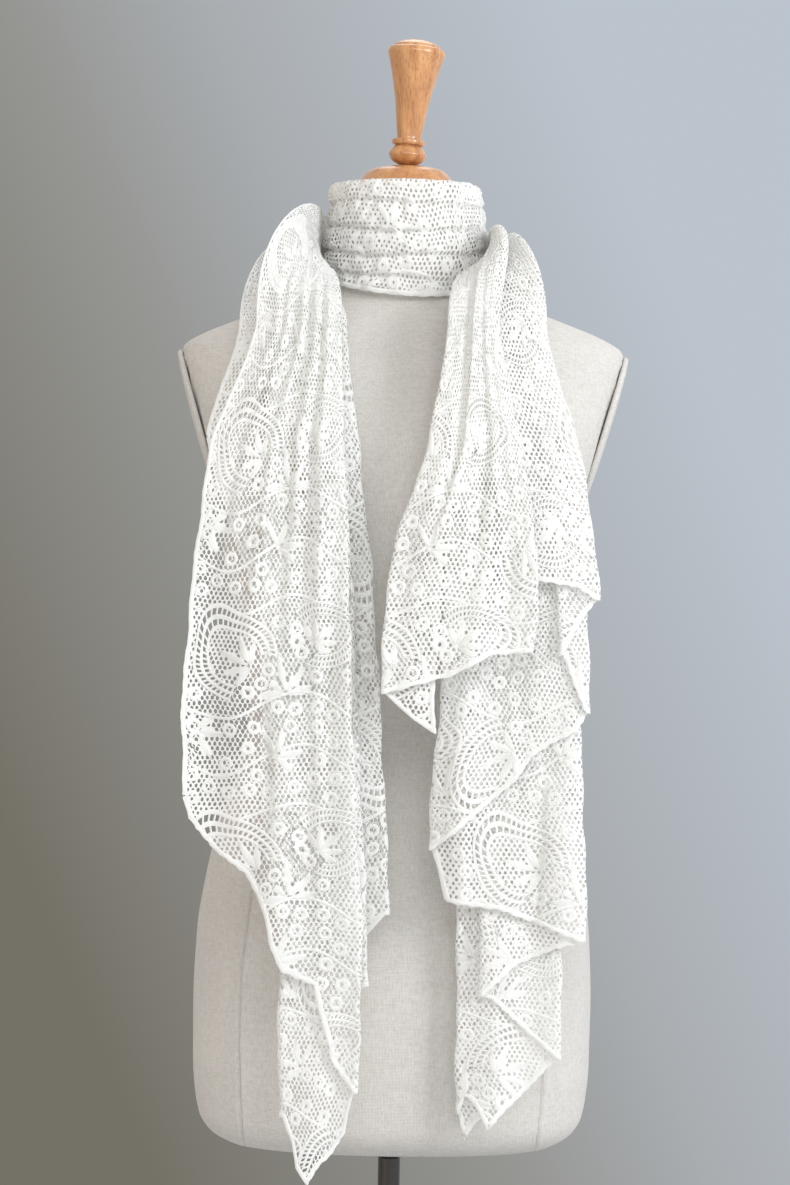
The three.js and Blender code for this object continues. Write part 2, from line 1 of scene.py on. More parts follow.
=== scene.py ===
import math

import bpy
import numpy as np
from mathutils import Matrix, Vector


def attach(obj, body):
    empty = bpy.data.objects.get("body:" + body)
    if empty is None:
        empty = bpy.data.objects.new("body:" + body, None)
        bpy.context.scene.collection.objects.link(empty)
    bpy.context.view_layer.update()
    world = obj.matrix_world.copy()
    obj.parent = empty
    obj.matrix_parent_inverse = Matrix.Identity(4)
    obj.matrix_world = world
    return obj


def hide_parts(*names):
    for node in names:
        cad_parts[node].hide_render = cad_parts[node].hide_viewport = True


# Lace shawl on a dress form: finish and fine form. Tables are in millimetres, Blender is in metres.
MM = 0.001
TURN = 2 * math.pi

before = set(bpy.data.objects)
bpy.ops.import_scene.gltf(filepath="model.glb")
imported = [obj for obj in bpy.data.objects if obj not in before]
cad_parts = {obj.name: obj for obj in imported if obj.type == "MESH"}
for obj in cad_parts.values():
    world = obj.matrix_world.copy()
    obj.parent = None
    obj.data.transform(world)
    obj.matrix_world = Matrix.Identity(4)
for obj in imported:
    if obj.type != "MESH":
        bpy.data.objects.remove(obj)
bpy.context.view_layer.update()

# Drape of the two falls, as in the solids

LEVELS = [1300, 1200, 1100, 1000, 900, 800, 700, 600]
LEVEL_STEP = 100
REAR = [92, 119, 129, 131, 132, 132, 132, 132]
SLOPE_START = (58, 1349.5)
SLOPE_FALL = 0.405
LEAST_PLEAT = 12
BEND_LIFT = 9
WALL = 1.2

# Hole is the radius of the net's holes. Each fold has its x at every level, 1 on the side away
# from the middle of the body, and how far it lies below the other pleats on the shoulder. A
# layer's place is its depth in the stack. The hem has a height at each edge and fold, and between
# them pairs of share across the layer and height.
RIGHT = {
    "side": 1,
    "hole": 1.5,
    "spacing": [4.2, 4.8, 5.4, 6, 6, 6, 6, 6],
    "start": 72.3,
    "side_spacing": 4,
    "crest": (1397, 1342),
    "side_middle": (96, 1358),
    "chest_middle": (74, -115, 1300),
    "folds": [
        ([58, 44, 34, 31, 31, 31, 31, 31], 1, 12),
        ([36, 20, -8, -13, -11, -9, -7, -6], -1, 0),
        ([79, 97, 112, 107, 109, 111, 112, 114], 1, 0),
        ([61, 74, 84, 86, 88, 90, 91, 93], -1, 0),
        ([118, 145, 161, 164, 166, 168, 170, 171], 1, 0),
        ([92, 115, 126, 131, 133, 135, 137, 138], -1, 0),
        ([113, 138, 152, 156, 161, 163, 165, 167], 1, 0),
        ([48, 41, 37, 35, 28, 26, 28, 30], -1, 0),
        ([110, 131, 145, 148, 154, 158, 160, 162], 1, 0),
        ([54, 54, 58, 61, 65, 70, 73, 75], -1, 0),
        ([103, 117, 125, 129, 133, 137, 140, 142], 1, 0),
        ([46, 46, 46, 48, 50, 52, 53, 55], -1, 0),
        ([71, 76, 81, 84, 86, 88, 89, 91], 1, 0),
    ],
    "places": [1, 0, 2, 3, 4, 5, 6, 7, 8, 9, 10, 11],
    "hem_ends": [966, 998, 1033, 1065, 1076, 1031, 984, 870, 797, 751, 699, 652, 661],
    "hems": [
        [(0.45, 977)],
        [(0.28, 1007), (0.47, 1013), (0.6, 1020), (0.74, 1030)],
        [],
        [(0.34, 1091), (0.79, 1086)],
        [(0.4, 1061)],
        [],
        [(0.07, 969), (0.23, 959), (0.37, 947), (0.47, 929), (0.72, 901)],
        [(0.04, 855), (0.1, 828), (0.26, 825), (0.47, 822), (0.71, 811)],
        [(0.26, 791), (0.67, 776)],
        [(0.16, 747), (0.61, 719)],
        [(0.25, 679), (0.58, 653), (0.72, 640), (0.88, 663), (0.96, 668)],
        [(0.08, 628), (0.4, 645)],
    ],
}

LEFT = {
    "side": -1,
    "hole": 1.66,
    "spacing": [6, 7, 8, 8.5, 8.5, 8.5, 8.5, 8.5],
    "start": 72.4,
    "side_spacing": 7.8,
    "crest": (1405, 1366),
    "side_middle": (96, 1362),
    "chest_middle": (86, -108, 1300),
    "folds": [
        ([-122, -155, -167, -174, -173, -172, -170, -168], 1, 0),
        ([-51, -47, -41, -37, -31, -25, -26, -29], -1, 0),
        ([-106, -112, -113, -111, -108, -94, -92, -89], 1, 0),
        ([-56, -47, -39, -33, -27, -21, -19, -17], -1, 0),
        ([-102, -100, -94, -88, -82, -76, -75, -73], 1, 0),
        ([-47, -35, -23, -15, -8, -2, 0, 2], -1, 0),
        ([-137, -163, -161, -159, -158, -156, -154, -152], 1, 0),
    ],
    "places": [0, 1, 2, 3, 4, 5],
    "hem_ends": [911, 673, 652, 758, 777, 815, 1204],
    "hems": [
        [(0.04, 895), (0.2, 867), (0.37, 849), (0.44, 829), (0.5, 796), (0.57, 771), (0.76, 760),
         (0.8, 732), (0.87, 699)],
        [(0.06, 639), (0.29, 620), (0.45, 613), (0.64, 597), (0.84, 613), (0.88, 631)],
        [(0.1, 695), (0.5, 732)],
        [],
        [(0.76, 798)],
        [(0.3, 908), (0.69, 1071), (0.9, 1169)],
    ],
}

# Net of the lace: distance between neighbouring holes
PITCH = 4.2

# Lengths of cloth from its start at the nape, round the neck and over the shoulder
NAPE_TURN = 74
TURN_LENGTH = 122
BEND_LENGTH = 150
FRONT_START = TURN_LENGTH + BEND_LENGTH
BUNDLE_LENGTH = 150
TIGHT_TO = 310
WIDTH_LEVEL = 950

# Soft folds pressed into a layer: layer, share across it at the top and at the low end, length of
# cloth from where to where, half width towards share 0 and towards share 1, and how far it
# stands forward (negative: a trough)
CREASES = {
    "left": [
        (0, 0.34, 0.08, 175, 470, 9, 8, 2.6),
        (0, 0.47, 0.16, 165, 520, 5, 9, 3.6),
        (0, 0.56, 0.26, 165, 430, 4, 4, -2.2),
        (0, 0.64, 0.34, 155, 590, 5, 8, 4.4),
        (0, 0.71, 0.45, 160, 500, 3, 4, -2.6),
        (0, 0.78, 0.56, 150, 680, 6, 9, 5.0),
        (0, 0.84, 0.68, 155, 600, 3, 4, -2.4),
        (0, 0.90, 0.78, 150, 800, 6, 6, 5.2),
        (0, 0.52, 0.555, 460, 700, 3, 9, 2.6),
        (1, 0.12, 0.10, 480, 940, 6, 6, 1.8),
        (0, 0.30, 0.40, 560, 800, 14, 10, 2.2),
        (5, 0.84, 0.90, 220, 340, 7, 7, 2.0),
    ],
    "right": [
        (1, 0.66, 0.26, 150, 470, 2.2, 30, 6.5),
        (1, 0.52, 0.20, 160, 460, 7, 3, -2.2),
        (1, 0.84, 0.66, 170, 560, 9, 12, 3.4),
        (1, 0.74, 0.50, 230, 590, 5, 6, -2.2),
        (1, 0.22, 0.14, 300, 590, 7, 10, 2.4),
        (1, 0.94, 0.90, 190, 560, 7, 5, 2.6),
        (3, 0.35, 0.25, 240, 500, 8, 10, 2.0),
        (3, 0.72, 0.75, 260, 520, 6, 7, 1.6),
        (6, 0.86, 0.88, 560, 720, 8, 8, 2.2),
        (6, 0.55, 0.42, 560, 700, 5, 12, 3.0),
        (7, 0.80, 0.72, 640, 780, 2, 13, 3.2),
        (7, 0.23, 0.22, 640, 790, 14, 1.5, 4.5),
        (10, 0.30, 0.22, 780, 900, 9, 7, 2.6),
        (10, 0.66, 0.55, 800, 940, 6, 10, 2.4),
    ],
}

# Waves in the cloth: height, length across and down for one radian, and shift. Patches of wider
# and narrower holes are the product of two.
RIPPLE = [(3.2, 13, 140, 0), (1.8, 7.5, -95, 1)]
FLUTTER = [(0.5, 11, 60, 2.1), (0.35, 5.3, -41, 1)]
WANDER = [(0.8, 1, 17, 2), (0.5, 1, 7.3, 1)]
NAPE_WAVES = [(0.5, 5.5, 9, 0)]
DRAWN_ACROSS = [(1.3, 41, 19, 0), (0.6, -23, 8.3, 0)]
DRAWN_DOWN = [(1.1, 15, -37, 0), (0.5, 7.1, 29, 0)]
PATCHES = [(1, 27, 51, 0)], [(1, -63, 38, 0)]
# Height where waves of the falls begin, and the height that they take to grow
RIPPLE_FROM = (1290, 200)
FLUTTER_FROM = (1300, 60)
WANDER_FROM = (1290, 80)
# The lower, the more suddenly a crease starts and ends
CREASE_ENDS = 0.6


def lerp(a, b, f):
    return a + (b - a) * f


def smooth(here, after, slope_here, slope_after, f):
    """Smooth curve between two values with their slopes, at a share of the way."""
    f2 = f * f
    f3 = f2 * f
    return ((2 * f3 - 3 * f2 + 1) * here + (f3 - 2 * f2 + f) * slope_here
            + (3 * f2 - 2 * f3) * after + (f3 - f2) * slope_after)


def column(values, z):
    """Smooth value of a table's columns at heights z; values is one row, or one row for each z."""
    values = np.asarray(values, float)
    last = len(LEVELS) - 1
    g = (LEVELS[0] - np.clip(z, LEVELS[-1], LEVELS[0])) / LEVEL_STEP
    i = np.minimum(g.astype(int), last - 1)

    def pick(k):
        k = np.clip(k, 0, last)
        return values[k] if values.ndim == 1 else values[np.arange(len(values)), k]

    here = pick(i)
    after = pick(i + 1)
    return smooth(here, after, (after - pick(i - 1)) / 2, (pick(i + 2) - here) / 2, g - i)


def waves(table, across, down, shift=1):
    """Sum of a table's waves at places of the cloth."""
    return sum(rise * np.sin(across / wide + down / long + start * shift)
               for rise, wide, long, start in table)


def grown(z, start):
    """0 above a height, and growing to 1 over a stretch below it."""
    return np.clip((start[0] - z) / start[1], 0, 1)


class Fall:
    """One hanging end of the shawl, as a surface over (across, down) in millimetres of cloth."""
    closed = False
    ladders = True
    pull = 1.0
    top_border = True

    def __init__(self, spec, creases):
        self.spec = spec
        self.creases = creases
        self.side = spec["side"]
        self.hole = spec["hole"]
        self.places = np.array(spec["places"], float)
        self.count = len(self.places)
        self.folds = np.array([f[0] for f in spec["folds"]], float) * self.side
        self.outer = np.array([f[1] for f in spec["folds"]], float)
        self.under = np.array([f[2] for f in spec["folds"]], float)
        ends = np.arange(self.count + 1)
        before = self.places[np.maximum(ends - 1, 0)]
        after = self.places[np.minimum(ends, self.count - 1)]
        self.fold_depth = (before + after) / 2
        self.fold_radius = np.abs(after - before) / 2
        level = np.array([float(WIDTH_LEVEL)])
        spacing = float(column(spec["spacing"], level)[0])
        at = np.array([float(column(row, level)[0]) for row in self.folds])
        turned_in = at - self.outer * self.fold_radius * spacing
        edges = [0.0]
        for j in range(self.count):
            edges.append(edges[-1] + abs(turned_in[j + 1] - turned_in[j]))
            if j < self.count - 1:
                edges.append(edges[-1] + math.pi * spacing * self.fold_radius[j + 1])
        self.edges = np.array(edges)
        self.width = edges[-1]

    def split(self, a):
        """Stretch of the section that each place lies on, and the share along it."""
        m = np.clip(np.searchsorted(self.edges, a, side="right") - 1, 0, len(self.edges) - 2)
        return m, np.clip((a - self.edges[m]) / (self.edges[m + 1] - self.edges[m]), 0, 1)

    def hem_down(self, a):
        """How far down the cloth the hem lies at a place across it."""
        m, g = self.split(a)
        z = np.zeros(len(a))
        ends = self.spec["hem_ends"]
        for j, between in enumerate(self.spec["hems"]):
            shares, heights = zip((0, ends[j]), *between, (1, ends[j + 1]))
            on = m == 2 * j
            z[on] = np.interp(g[on], shares, heights)
            z[m == 2 * j + 1] = ends[j + 1]
        return FRONT_START + LEVELS[0] - z

    def widthwise(self, m, g, at_fold, spacing):
        """Place across the section: along a layer, or round the turn of a fold."""
        j = m // 2
        after = np.minimum(j + 1, self.count)
        inset = self.fold_radius * self.outer
        start = at_fold(j) - inset[j] * spacing
        end = at_fold(after) - inset[after] * spacing
        straight = lerp(start, end, g)
        bulge = at_fold(after) - inset[after] * spacing * (1 - np.sin(math.pi * g))
        return np.where(m % 2 == 1, bulge, straight)

    def depth(self, m, g):
        j = m // 2
        here = self.places[j]
        after = self.places[np.minimum(j + 1, self.count - 1)]
        return np.where(m % 2 == 1, lerp(here, after, (1 - np.cos(math.pi * g)) / 2), here)

    def facing(self, a, b):
        """1 where the cloth's own front is towards the viewer, -1 where its back is. On the
        shoulder and behind the neck the side seen from outside is the other one."""
        m, g = self.split(a)
        straight = np.where(m // 2 % 2 == 0, 1.0, -1.0)
        turn = np.where(m % 2 == 1, np.cos(math.pi * g), 1.0)
        return self.side * straight * turn * np.where(b < TURN_LENGTH, -1.0, 1.0)

    def dense(self, a, b):
        """Where layers are bundled behind the neck: their net is closed, except on the outer ones."""
        layer = self.split(a)[0] // 2
        return (b < BUNDLE_LENGTH) & (layer > 0) & (layer < self.count - 1)

    def tight(self, a, b):
        """Where the outer layers are drawn over the shoulder: their ladders are pulled shut."""
        return (b < TIGHT_TO) & (self.split(a)[0] // 2 < 2)

    def forward(self, m, g, b):
        """How far creases move the cloth forward."""
        total = np.zeros(len(b))
        for layer, top, low, start, end, half_a, half_b, rise in self.creases:
            width = self.edges[2 * layer + 1] - self.edges[2 * layer]
            f = np.clip((b - start) / (end - start), 0, 1)
            off = (g - lerp(top, low, f)) * width
            near = np.exp(-(off / np.where(off < 0, half_a, half_b)) ** 2)
            total += np.where(m == 2 * layer, rise * near * np.sin(math.pi * f) ** CREASE_ENDS, 0)
        return total

    def front(self, m, g, z):
        spacing = column(self.spec["spacing"], z)
        out = self.widthwise(m, g, lambda k: column(self.folds[k], z), spacing)
        depth = self.depth(m, g)
        # fold lines wander a little to the side
        out = out + grown(z, WANDER_FROM) * waves(WANDER, 0, z, depth)
        x = self.side * out
        # all layers share the shallow ripples, so that they keep their distance
        ripple = grown(z, RIPPLE_FROM) * waves(RIPPLE, x, z)
        y = -column(REAR, z) - (self.count - 1 - depth) * spacing + ripple
        return out, y + waves(FLUTTER, x, z, depth) * grown(z, FLUTTER_FROM), z

    def fold_height(self, k):
        crest = self.spec["crest"]
        out = self.spec["start"] + (self.fold_depth[k] - 0.5) * self.spec["side_spacing"]
        foot = SLOPE_START[1] - (out - SLOPE_START[0]) * SLOPE_FALL + WALL
        share = self.fold_depth[k] / (self.count - 1)
        top = np.maximum(lerp(crest[0], crest[1], share), foot + LEAST_PLEAT) - self.under[k]
        return np.where(self.outer[k] < 0, foot, top)

    def shoulder(self, m, g):
        spacing = self.spec["side_spacing"]
        z = self.widthwise(m, g, self.fold_height, spacing)
        return self.spec["start"] + self.depth(m, g) * spacing, z

    def point(self, a, b):
        """Places of the cloth in millimetres, as rows of x, y, z."""
        a, b = np.broadcast_arrays(np.asarray(a, float), np.asarray(b, float))
        m, g = self.split(a)
        side_out, side_z = self.shoulder(m, g)
        forward = self.forward(m, g, b)
        # turned round the neck
        angle = np.radians(NAPE_TURN) * np.clip(1 - b / TURN_LENGTH, 0, 1)
        turned = np.stack([side_out * np.cos(angle), side_out * np.sin(angle), side_z], 1)
        # bent over the shoulder, with a quarter turn of the section
        mid, chest = self.spec["side_middle"], self.spec["chest_middle"]
        f = np.clip((b - TURN_LENGTH) / BEND_LENGTH, 0, 1)
        share = f * f * (3 - 2 * f)
        qx, qy, _ = self.front(m, g, np.full(len(a), float(LEVELS[0])))
        wide = lerp(side_z - mid[1], qx - chest[0], share)
        deep = lerp(side_out - mid[0], qy - chest[1], share) - forward * share
        bend = f * math.pi / 2
        twist = (1 - share) * math.pi / 2
        along_x = wide * np.cos(twist) + deep * np.sin(twist)
        along_d = deep * np.cos(twist) - wide * np.sin(twist)
        bent = np.stack([
            lerp(mid[0], chest[0], share) + along_x,
            chest[1] * np.sin(bend) + along_d * np.sin(bend),
            lerp(chest[2], mid[1], np.cos(bend)) + BEND_LIFT * np.sin(2 * bend) - along_d * np.cos(bend),
        ], 1)
        # hanging in front
        out, y, z = self.front(m, g, LEVELS[0] - np.maximum(b - FRONT_START, 0))
        hung = np.stack([out, y - forward, z], 1)
        p = np.where((b > TURN_LENGTH)[:, None], bent, turned)
        p = np.where((b > FRONT_START)[:, None], hung, p)
        p[:, 0] *= self.side
        return p


# Neck wrap and nape crossing, as in the solids

NECK_TOP = 1427

# Pleats of the wrap: radius and height of its outer form from top to bottom, and the heights of
# the grooves under its pleats
WRAP_FORM = [(59.4, 1426.6), (61.6, 1428.4), (63.8, 1424), (65.2, 1412), (66.6, 1398), (68.2, 1384),
             (68.6, 1370), (68.4, 1357), (68.2, 1348), (68.2, 1341)]
WRAP_GROOVES = [(1411, 4.2), (1390.5, 5.0), (1370.5, 5.0), (1353, 4.2)]
# Half width of a groove on its upper and its lower side
GROOVE_UPPER = 1.7 * 0.6
GROOVE_LOWER = 1.7 * 2.2
# How grooves leave the level: height, waves round the neck, and shift from groove to groove
GROOVE_WANDER = [(1.6, 2, 1.7), (0.8, 5, 1)]
# Share of a groove's depth, and how much less on the viewer's right
WRAP_PLEAT = 0.85
WRAP_FLATTER = 0.4
WRAP_AROUND = 102 * PITCH
# Where round the neck the ends of the wrap meet, as a share of the turn
WRAP_SEAM = 0.25
# Uneven surface: height, waves round the neck, height of cloth for one radian, and sideways swing
WRAP_SWELL = 0.8
WRAP_WAVES = [(0.8, 3, 11, 0), (0.6, 17, 6, 0), (0.5, 29, -4, 2)]
# How far the foot of the wrap lies above its form: all round, more behind, and in two waves
WRAP_LIFT = (8, 20, 2)
WRAP_CREASE = math.radians(268)
WRAP_CREASE_HALF = 0.022
WRAP_CREASE_DEPTH = 2.0
WRAP_CREASE_TOP = 1418
WRAP_CREASE_FOOT = 1362
WRAP_CREASE_SOFT = 6

NAPE = [(69.1, 1408), (77, 1411), (86, 1406), (91, 1399), (100, 1394), (105, 1386), (113, 1380),
        (117.5, 1367), (122, 1358), (121.5, 1345), (125, 1335), (123.5, 1317)]
NAPE_SPREAD = math.radians(52)
NAPE_SLANT = 7
NAPE_RADIUS = 112
NAPE_ACROSS = 2 * NAPE_SPREAD * NAPE_RADIUS


def run_along(line):
    """Length along a line at each of its points."""
    return np.concatenate([[0], np.cumsum(np.linalg.norm(np.diff(line, axis=0), axis=1))])


def smooth_path(pairs, steps):
    """Rounded line through a list of points, and the length along it."""
    p = np.array(pairs, float)
    f = np.linspace(0, len(p) - 1, steps)
    i = np.minimum(f.astype(int), len(p) - 2)
    slope = np.gradient(p, axis=0)
    line = smooth(p[i], p[i + 1], slope[i], slope[i + 1], (f - i)[:, None])
    return line, run_along(line)


WRAP_LINE, WRAP_RUN = smooth_path(WRAP_FORM, 240)
NAPE_LINE, NAPE_RUN = smooth_path(NAPE, 200)


class Band:
    """A stretch with a level hem, seen from outside on its back, with its ladders pulled shut."""
    closed = False
    ladders = False
    pull = 1.9
    top_border = True
    hole = 1.5

    def hem_down(self, a):
        return np.full(np.shape(a), float(self.run[-1]))

    def dense(self, a, b):
        return np.zeros(np.shape(a), bool)

    tight = dense

    def facing(self, a, b):
        return np.full(np.shape(a), -1.0)


class Wrap(Band):
    """The turn round the neck: pleats lie over each other like shingles."""
    width = WRAP_AROUND
    run = WRAP_RUN
    closed = True
    top_border = False

    def point(self, a, b):
        a, b = np.broadcast_arrays(np.asarray(a, float), np.asarray(b, float))
        angle = (a / WRAP_AROUND + WRAP_SEAM) * TURN % TURN
        r = np.interp(b, WRAP_RUN, WRAP_LINE[:, 0])
        z = np.interp(b, WRAP_RUN, WRAP_LINE[:, 1])
        share = np.maximum(WRAP_FORM[0][1] - z, 0) / (WRAP_FORM[0][1] - WRAP_FORM[-1][1])
        pressed = WRAP_PLEAT - WRAP_FLATTER * np.maximum(np.cos(angle), 0)
        for n, (height, depth) in enumerate(WRAP_GROOVES):
            off = z - height - sum(rise * np.sin(angle * k + n * shift) for rise, k, shift in GROOVE_WANDER)
            # a pleat ends softly above the groove and the next one starts sharply below it
            half = np.where(off > 0, GROOVE_UPPER, GROOVE_LOWER)
            r = r - depth * pressed * np.exp(-(off / half) ** 2)
        r = r + WRAP_SWELL
        for rise, k, length, swing in WRAP_WAVES:
            r = r + rise * np.sin(k * angle + z / length + swing * np.sin(3 * angle))
        # one upright crease in the middle pleats
        off = (angle - WRAP_CREASE) / WRAP_CREASE_HALF
        within = np.minimum(WRAP_CREASE_TOP - z, z - WRAP_CREASE_FOOT) / WRAP_CREASE_SOFT
        r = r - WRAP_CREASE_DEPTH * np.exp(-off**2) * np.clip(within, 0, 1)
        even, tilt, sway = WRAP_LIFT
        z = z + share * (even + tilt * np.sin(angle) + sway * np.sin(2 * angle))
        return np.stack([r * np.cos(angle), r * np.sin(angle), z], 1)


class Nape(Band):
    """The pleated stretch laid over both ends behind the neck."""
    run = NAPE_RUN

    def point(self, a, b):
        a, b = np.broadcast_arrays(np.asarray(a, float), np.asarray(b, float))
        f = 2 * a / NAPE_ACROSS - 1
        angle = math.pi / 2 + f * NAPE_SPREAD
        r = np.interp(b, NAPE_RUN, NAPE_LINE[:, 0]) + waves(NAPE_WAVES, a, b)
        z = np.interp(b, NAPE_RUN, NAPE_LINE[:, 1]) + NAPE_SLANT * f * b / NAPE_RUN[-1]
        return np.stack([r * np.cos(angle), r * np.sin(angle), z], 1)


# Lace pattern: a net of hexagonal holes, with smooth raised motifs on it that repeat as a tile

ROW = PITCH * math.sqrt(3) / 2
CELL_RADIUS = PITCH / math.sqrt(3)
TILE_W = 60 * PITCH
TILE_H = 46 * ROW
RASTER = 0.5
CALM_SEAM = 24
# Holes: smaller in gathered cloth, longer than wide, uneven in size, corners and from patch to patch
GATHERED_SHARE = 0.8
GATHERED_TO = (200, 440)
HOLE_WIDE = 0.86
HOLE_LONG = 1.16
HOLE_UNEVEN = 0.12
HOLE_CORNERS = 0.16
HOLE_PATCHES = 0.2
CORNER_SHIFT = 0.28
SCATTER_A, SCATTER_B, SCATTER_SCALE = 12.9898, 78.233, 43758.5453
# The net and the motifs end this far before the hem
NET_CLEAR = 1.2
MOTIF_CLEAR = 1.5

# Arched scrolls with a tip, open at the foot: centre, turn in degrees, size
SCROLLS = [(44, 46, 200, 1.0), (168, 126, 20, 1.0), (116, 26, 320, 0.8), (240, 108, 140, 0.8)]
SCROLL_RADIUS = 35.5
SCROLL_TIP = 0.42
SCROLL_TIP_WIDTH = 0.5
SCROLL_CURL = 0.5
SCROLL_OPEN = 2.3
SCROLL_STEPS = 400
# Cords of a scroll by inner and outer radius, and the ladders between them with their number of
# bars for a whole turn
CORDS = [(33.2, 35.6), (27.2, 29.9), (21.6, 24.0)]
LADDERS = [(29.6, 33.6, 50), (23.7, 27.5, 40)]
# Small rings across a scroll's foot
FOOT_RINGS = (28.5, (2.7, math.pi, 3.58))
# Fans of leaves: foot, direction of the middle leaf, spread, leaves, length. In a scroll the foot
# lies behind its middle.
INNER_BACK = 15
INNER_SPREAD = 124
INNER_LEAVES = 5
INNER_LENGTH = 31
INNER_FANS = [
    (cx - INNER_BACK * size * math.cos(math.radians(turn)),
     cy - INNER_BACK * size * math.sin(math.radians(turn)),
     turn, INNER_SPREAD, INNER_LEAVES, INNER_LENGTH * size) for cx, cy, turn, size in SCROLLS
]
FANS = [
    (84, 74, 262, 150, 5, 32),
    (208, 154, 262, 150, 5, 32),
    (8, 104, 60, 150, 5, 29),
    (132, 20, 75, 150, 5, 29),
    (74, 124, 320, 130, 4, 27),
    (198, 42, 320, 130, 4, 27),
]
LEAF_HALF = 2.7
LEAF_LEAST = 0.35
LEAF_WIDEST = 1.25
LEAF_ROUND = 0.9
LEAF_SHORTER = 0.16
LEAF_STEPS = 7
LEAF_FOOT = 0.12
LEAF_BEND = 0.2
# Stems: middle line, swing and length of its wave
STEMS = [(84, 12, TILE_W / 2), (4, 9, TILE_W / 2), (128, 14, TILE_W / 2)]
STEM_HALF = 1.2
STEM_STEPS = 72
# Rings like small flowers: radius of the ring, half its width, the space from one to the next and
# to other motifs, and how far every other corner stands out. They are tried at random places.
RING = 4.3
RING_HALF = 1.5
RING_SPACE = 13.9
RING_CLEAR = 7
RING_SIDES = 12
RING_PETALS = 0.16
RING_SEED = 11
RING_TRIES = 1500
RIM_SPOTS = 12
# Distance of places along a scroll's cord, half width of a ladder's bar, and how far the net stays
# off a ladder
CORD_STEP = 4.4
BAR_HALF = 0.8
LADDER_MARGIN = 1.0

# Sections of a cord and a leaf: share of the half width, and how far it stands out
CORD = [(-1, 0.1), (0, 0.7), (1, 0.1)]
LEAF = [(-1, 0.1), (-0.55, 0.65), (0, 0.1), (0.55, 0.65), (1, 0.1)]


def wrapped(dx, dy):
    """Offsets to the nearest repeat of a motif."""
    return (dx + TILE_W / 2) % TILE_W - TILE_W / 2, (dy + TILE_H / 2) % TILE_H - TILE_H / 2


def swell(t):
    return 1 + SCROLL_TIP * np.exp(-(t / SCROLL_TIP_WIDTH) ** 2)


def scroll_place(scroll, radius, t):
    """Flat place on a scroll at a radius of its own and an angle from its tip."""
    cx, cy, turn, size = scroll
    r = radius * swell(t)
    angle = t + SCROLL_CURL * r / SCROLL_RADIUS + math.radians(turn)
    return np.stack([cx + size * r * np.cos(angle), cy + size * r * np.sin(angle)], -1)


def scroll_polar(scroll, x, y):
    """The scroll's own radius and angle from its tip at flat places."""
    cx, cy, turn, size = scroll
    dx, dy = wrapped(x - cx, y - cy)
    r = np.hypot(dx, dy) / size
    angle = np.arctan2(dy, dx) - math.radians(turn) - SCROLL_CURL * r / SCROLL_RADIUS
    t = (angle + math.pi) % TURN - math.pi
    return r / swell(t), t


def leaf_half(s):
    rounded = np.sin(math.pi * np.clip(s, 0, 1) ** LEAF_WIDEST) ** LEAF_ROUND
    return np.maximum(LEAF_HALF * rounded, LEAF_LEAST)


def leaves(fans):
    """Foot, direction, length and bend of every leaf."""
    for fx, fy, middle, spread, count, length in fans:
        for n in range(count):
            off = n - (count - 1) / 2
            angle = math.radians(middle + spread * off / (count - 1))
            yield fx, fy, angle, length * (1 - LEAF_SHORTER * abs(off)), LEAF_BEND * np.sign(off)


def in_leaf(leaf, x, y):
    fx, fy, angle, length, bend = leaf
    dx, dy = wrapped(x - fx, y - fy)
    u = dx * math.cos(angle) + dy * math.sin(angle)
    v = dy * math.cos(angle) - dx * math.sin(angle)
    s = u / length
    return (s > 0) & (s < 1) & (np.abs(v - bend * length * s * s) < leaf_half(s))


def stem_line(x, base, swing, length):
    return base + swing * np.sin(x * TURN / length)


def pattern_rasters():
    """Places of the repeat without any net, inside ladders, and places of close cloth."""
    nx, ny = round(TILE_W / RASTER), round(TILE_H / RASTER)
    x, y = np.meshgrid((np.arange(nx) + 0.5) * TILE_W / nx, (np.arange(ny) + 0.5) * TILE_H / ny)
    bare = np.zeros(x.shape, bool)
    close = np.zeros(x.shape, bool)
    for leaf in leaves(FANS):
        close |= in_leaf(leaf, x, y)
    for scroll in SCROLLS:
        radius, t = scroll_polar(scroll, x, y)
        close &= radius > SCROLL_RADIUS
        for inner, outer, _ in LADDERS:
            between = (radius > inner - LADDER_MARGIN) & (radius < outer + LADDER_MARGIN)
            bare |= between & (np.abs(t) < SCROLL_OPEN)
    for leaf in leaves(INNER_FANS):
        close |= in_leaf(leaf, x, y)
    return bare, close


BARE, CLOSED = pattern_rasters()


def lookup(raster, a, b):
    ny, nx = raster.shape
    i = np.floor((a % TILE_W) / TILE_W * nx).astype(int) % nx
    k = np.floor((b % TILE_H) / TILE_H * ny).astype(int) % ny
    return raster[k, i]


def strip(rows, section):
    """Raised strip from rows of flat places across it: places, lifts and faces."""
    count, across = rows.shape[:2]
    i = np.arange(count - 1)[:, None] * across + np.arange(across - 1)
    quads = np.stack([i, i + 1, i + across + 1, i + across], -1).reshape(-1, 4)
    return rows.reshape(-1, 2), np.tile([lift for _, lift in section], count), quads


def ribbon(line, half, section):
    """Raised strip along a flat line."""
    line = np.asarray(line, float)
    along = np.gradient(line, axis=0)
    along /= np.maximum(np.linalg.norm(along, axis=1, keepdims=True), 1e-9)
    side = np.stack([-along[:, 1], along[:, 0]], 1)
    share = np.array([s for s, _ in section])
    half = np.broadcast_to(half, len(line))
    return strip(line[:, None, :] + side[:, None, :] * (half[:, None] * share)[..., None], section)


def joined(parts):
    """One set of places, lifts and faces from several."""
    offsets = np.cumsum([0] + [len(p) for p, _, _ in parts[:-1]])
    return (np.concatenate([p for p, _, _ in parts]), np.concatenate([lift for _, lift, _ in parts]),
            np.concatenate([q + n for (_, _, q), n in zip(parts, offsets)]))


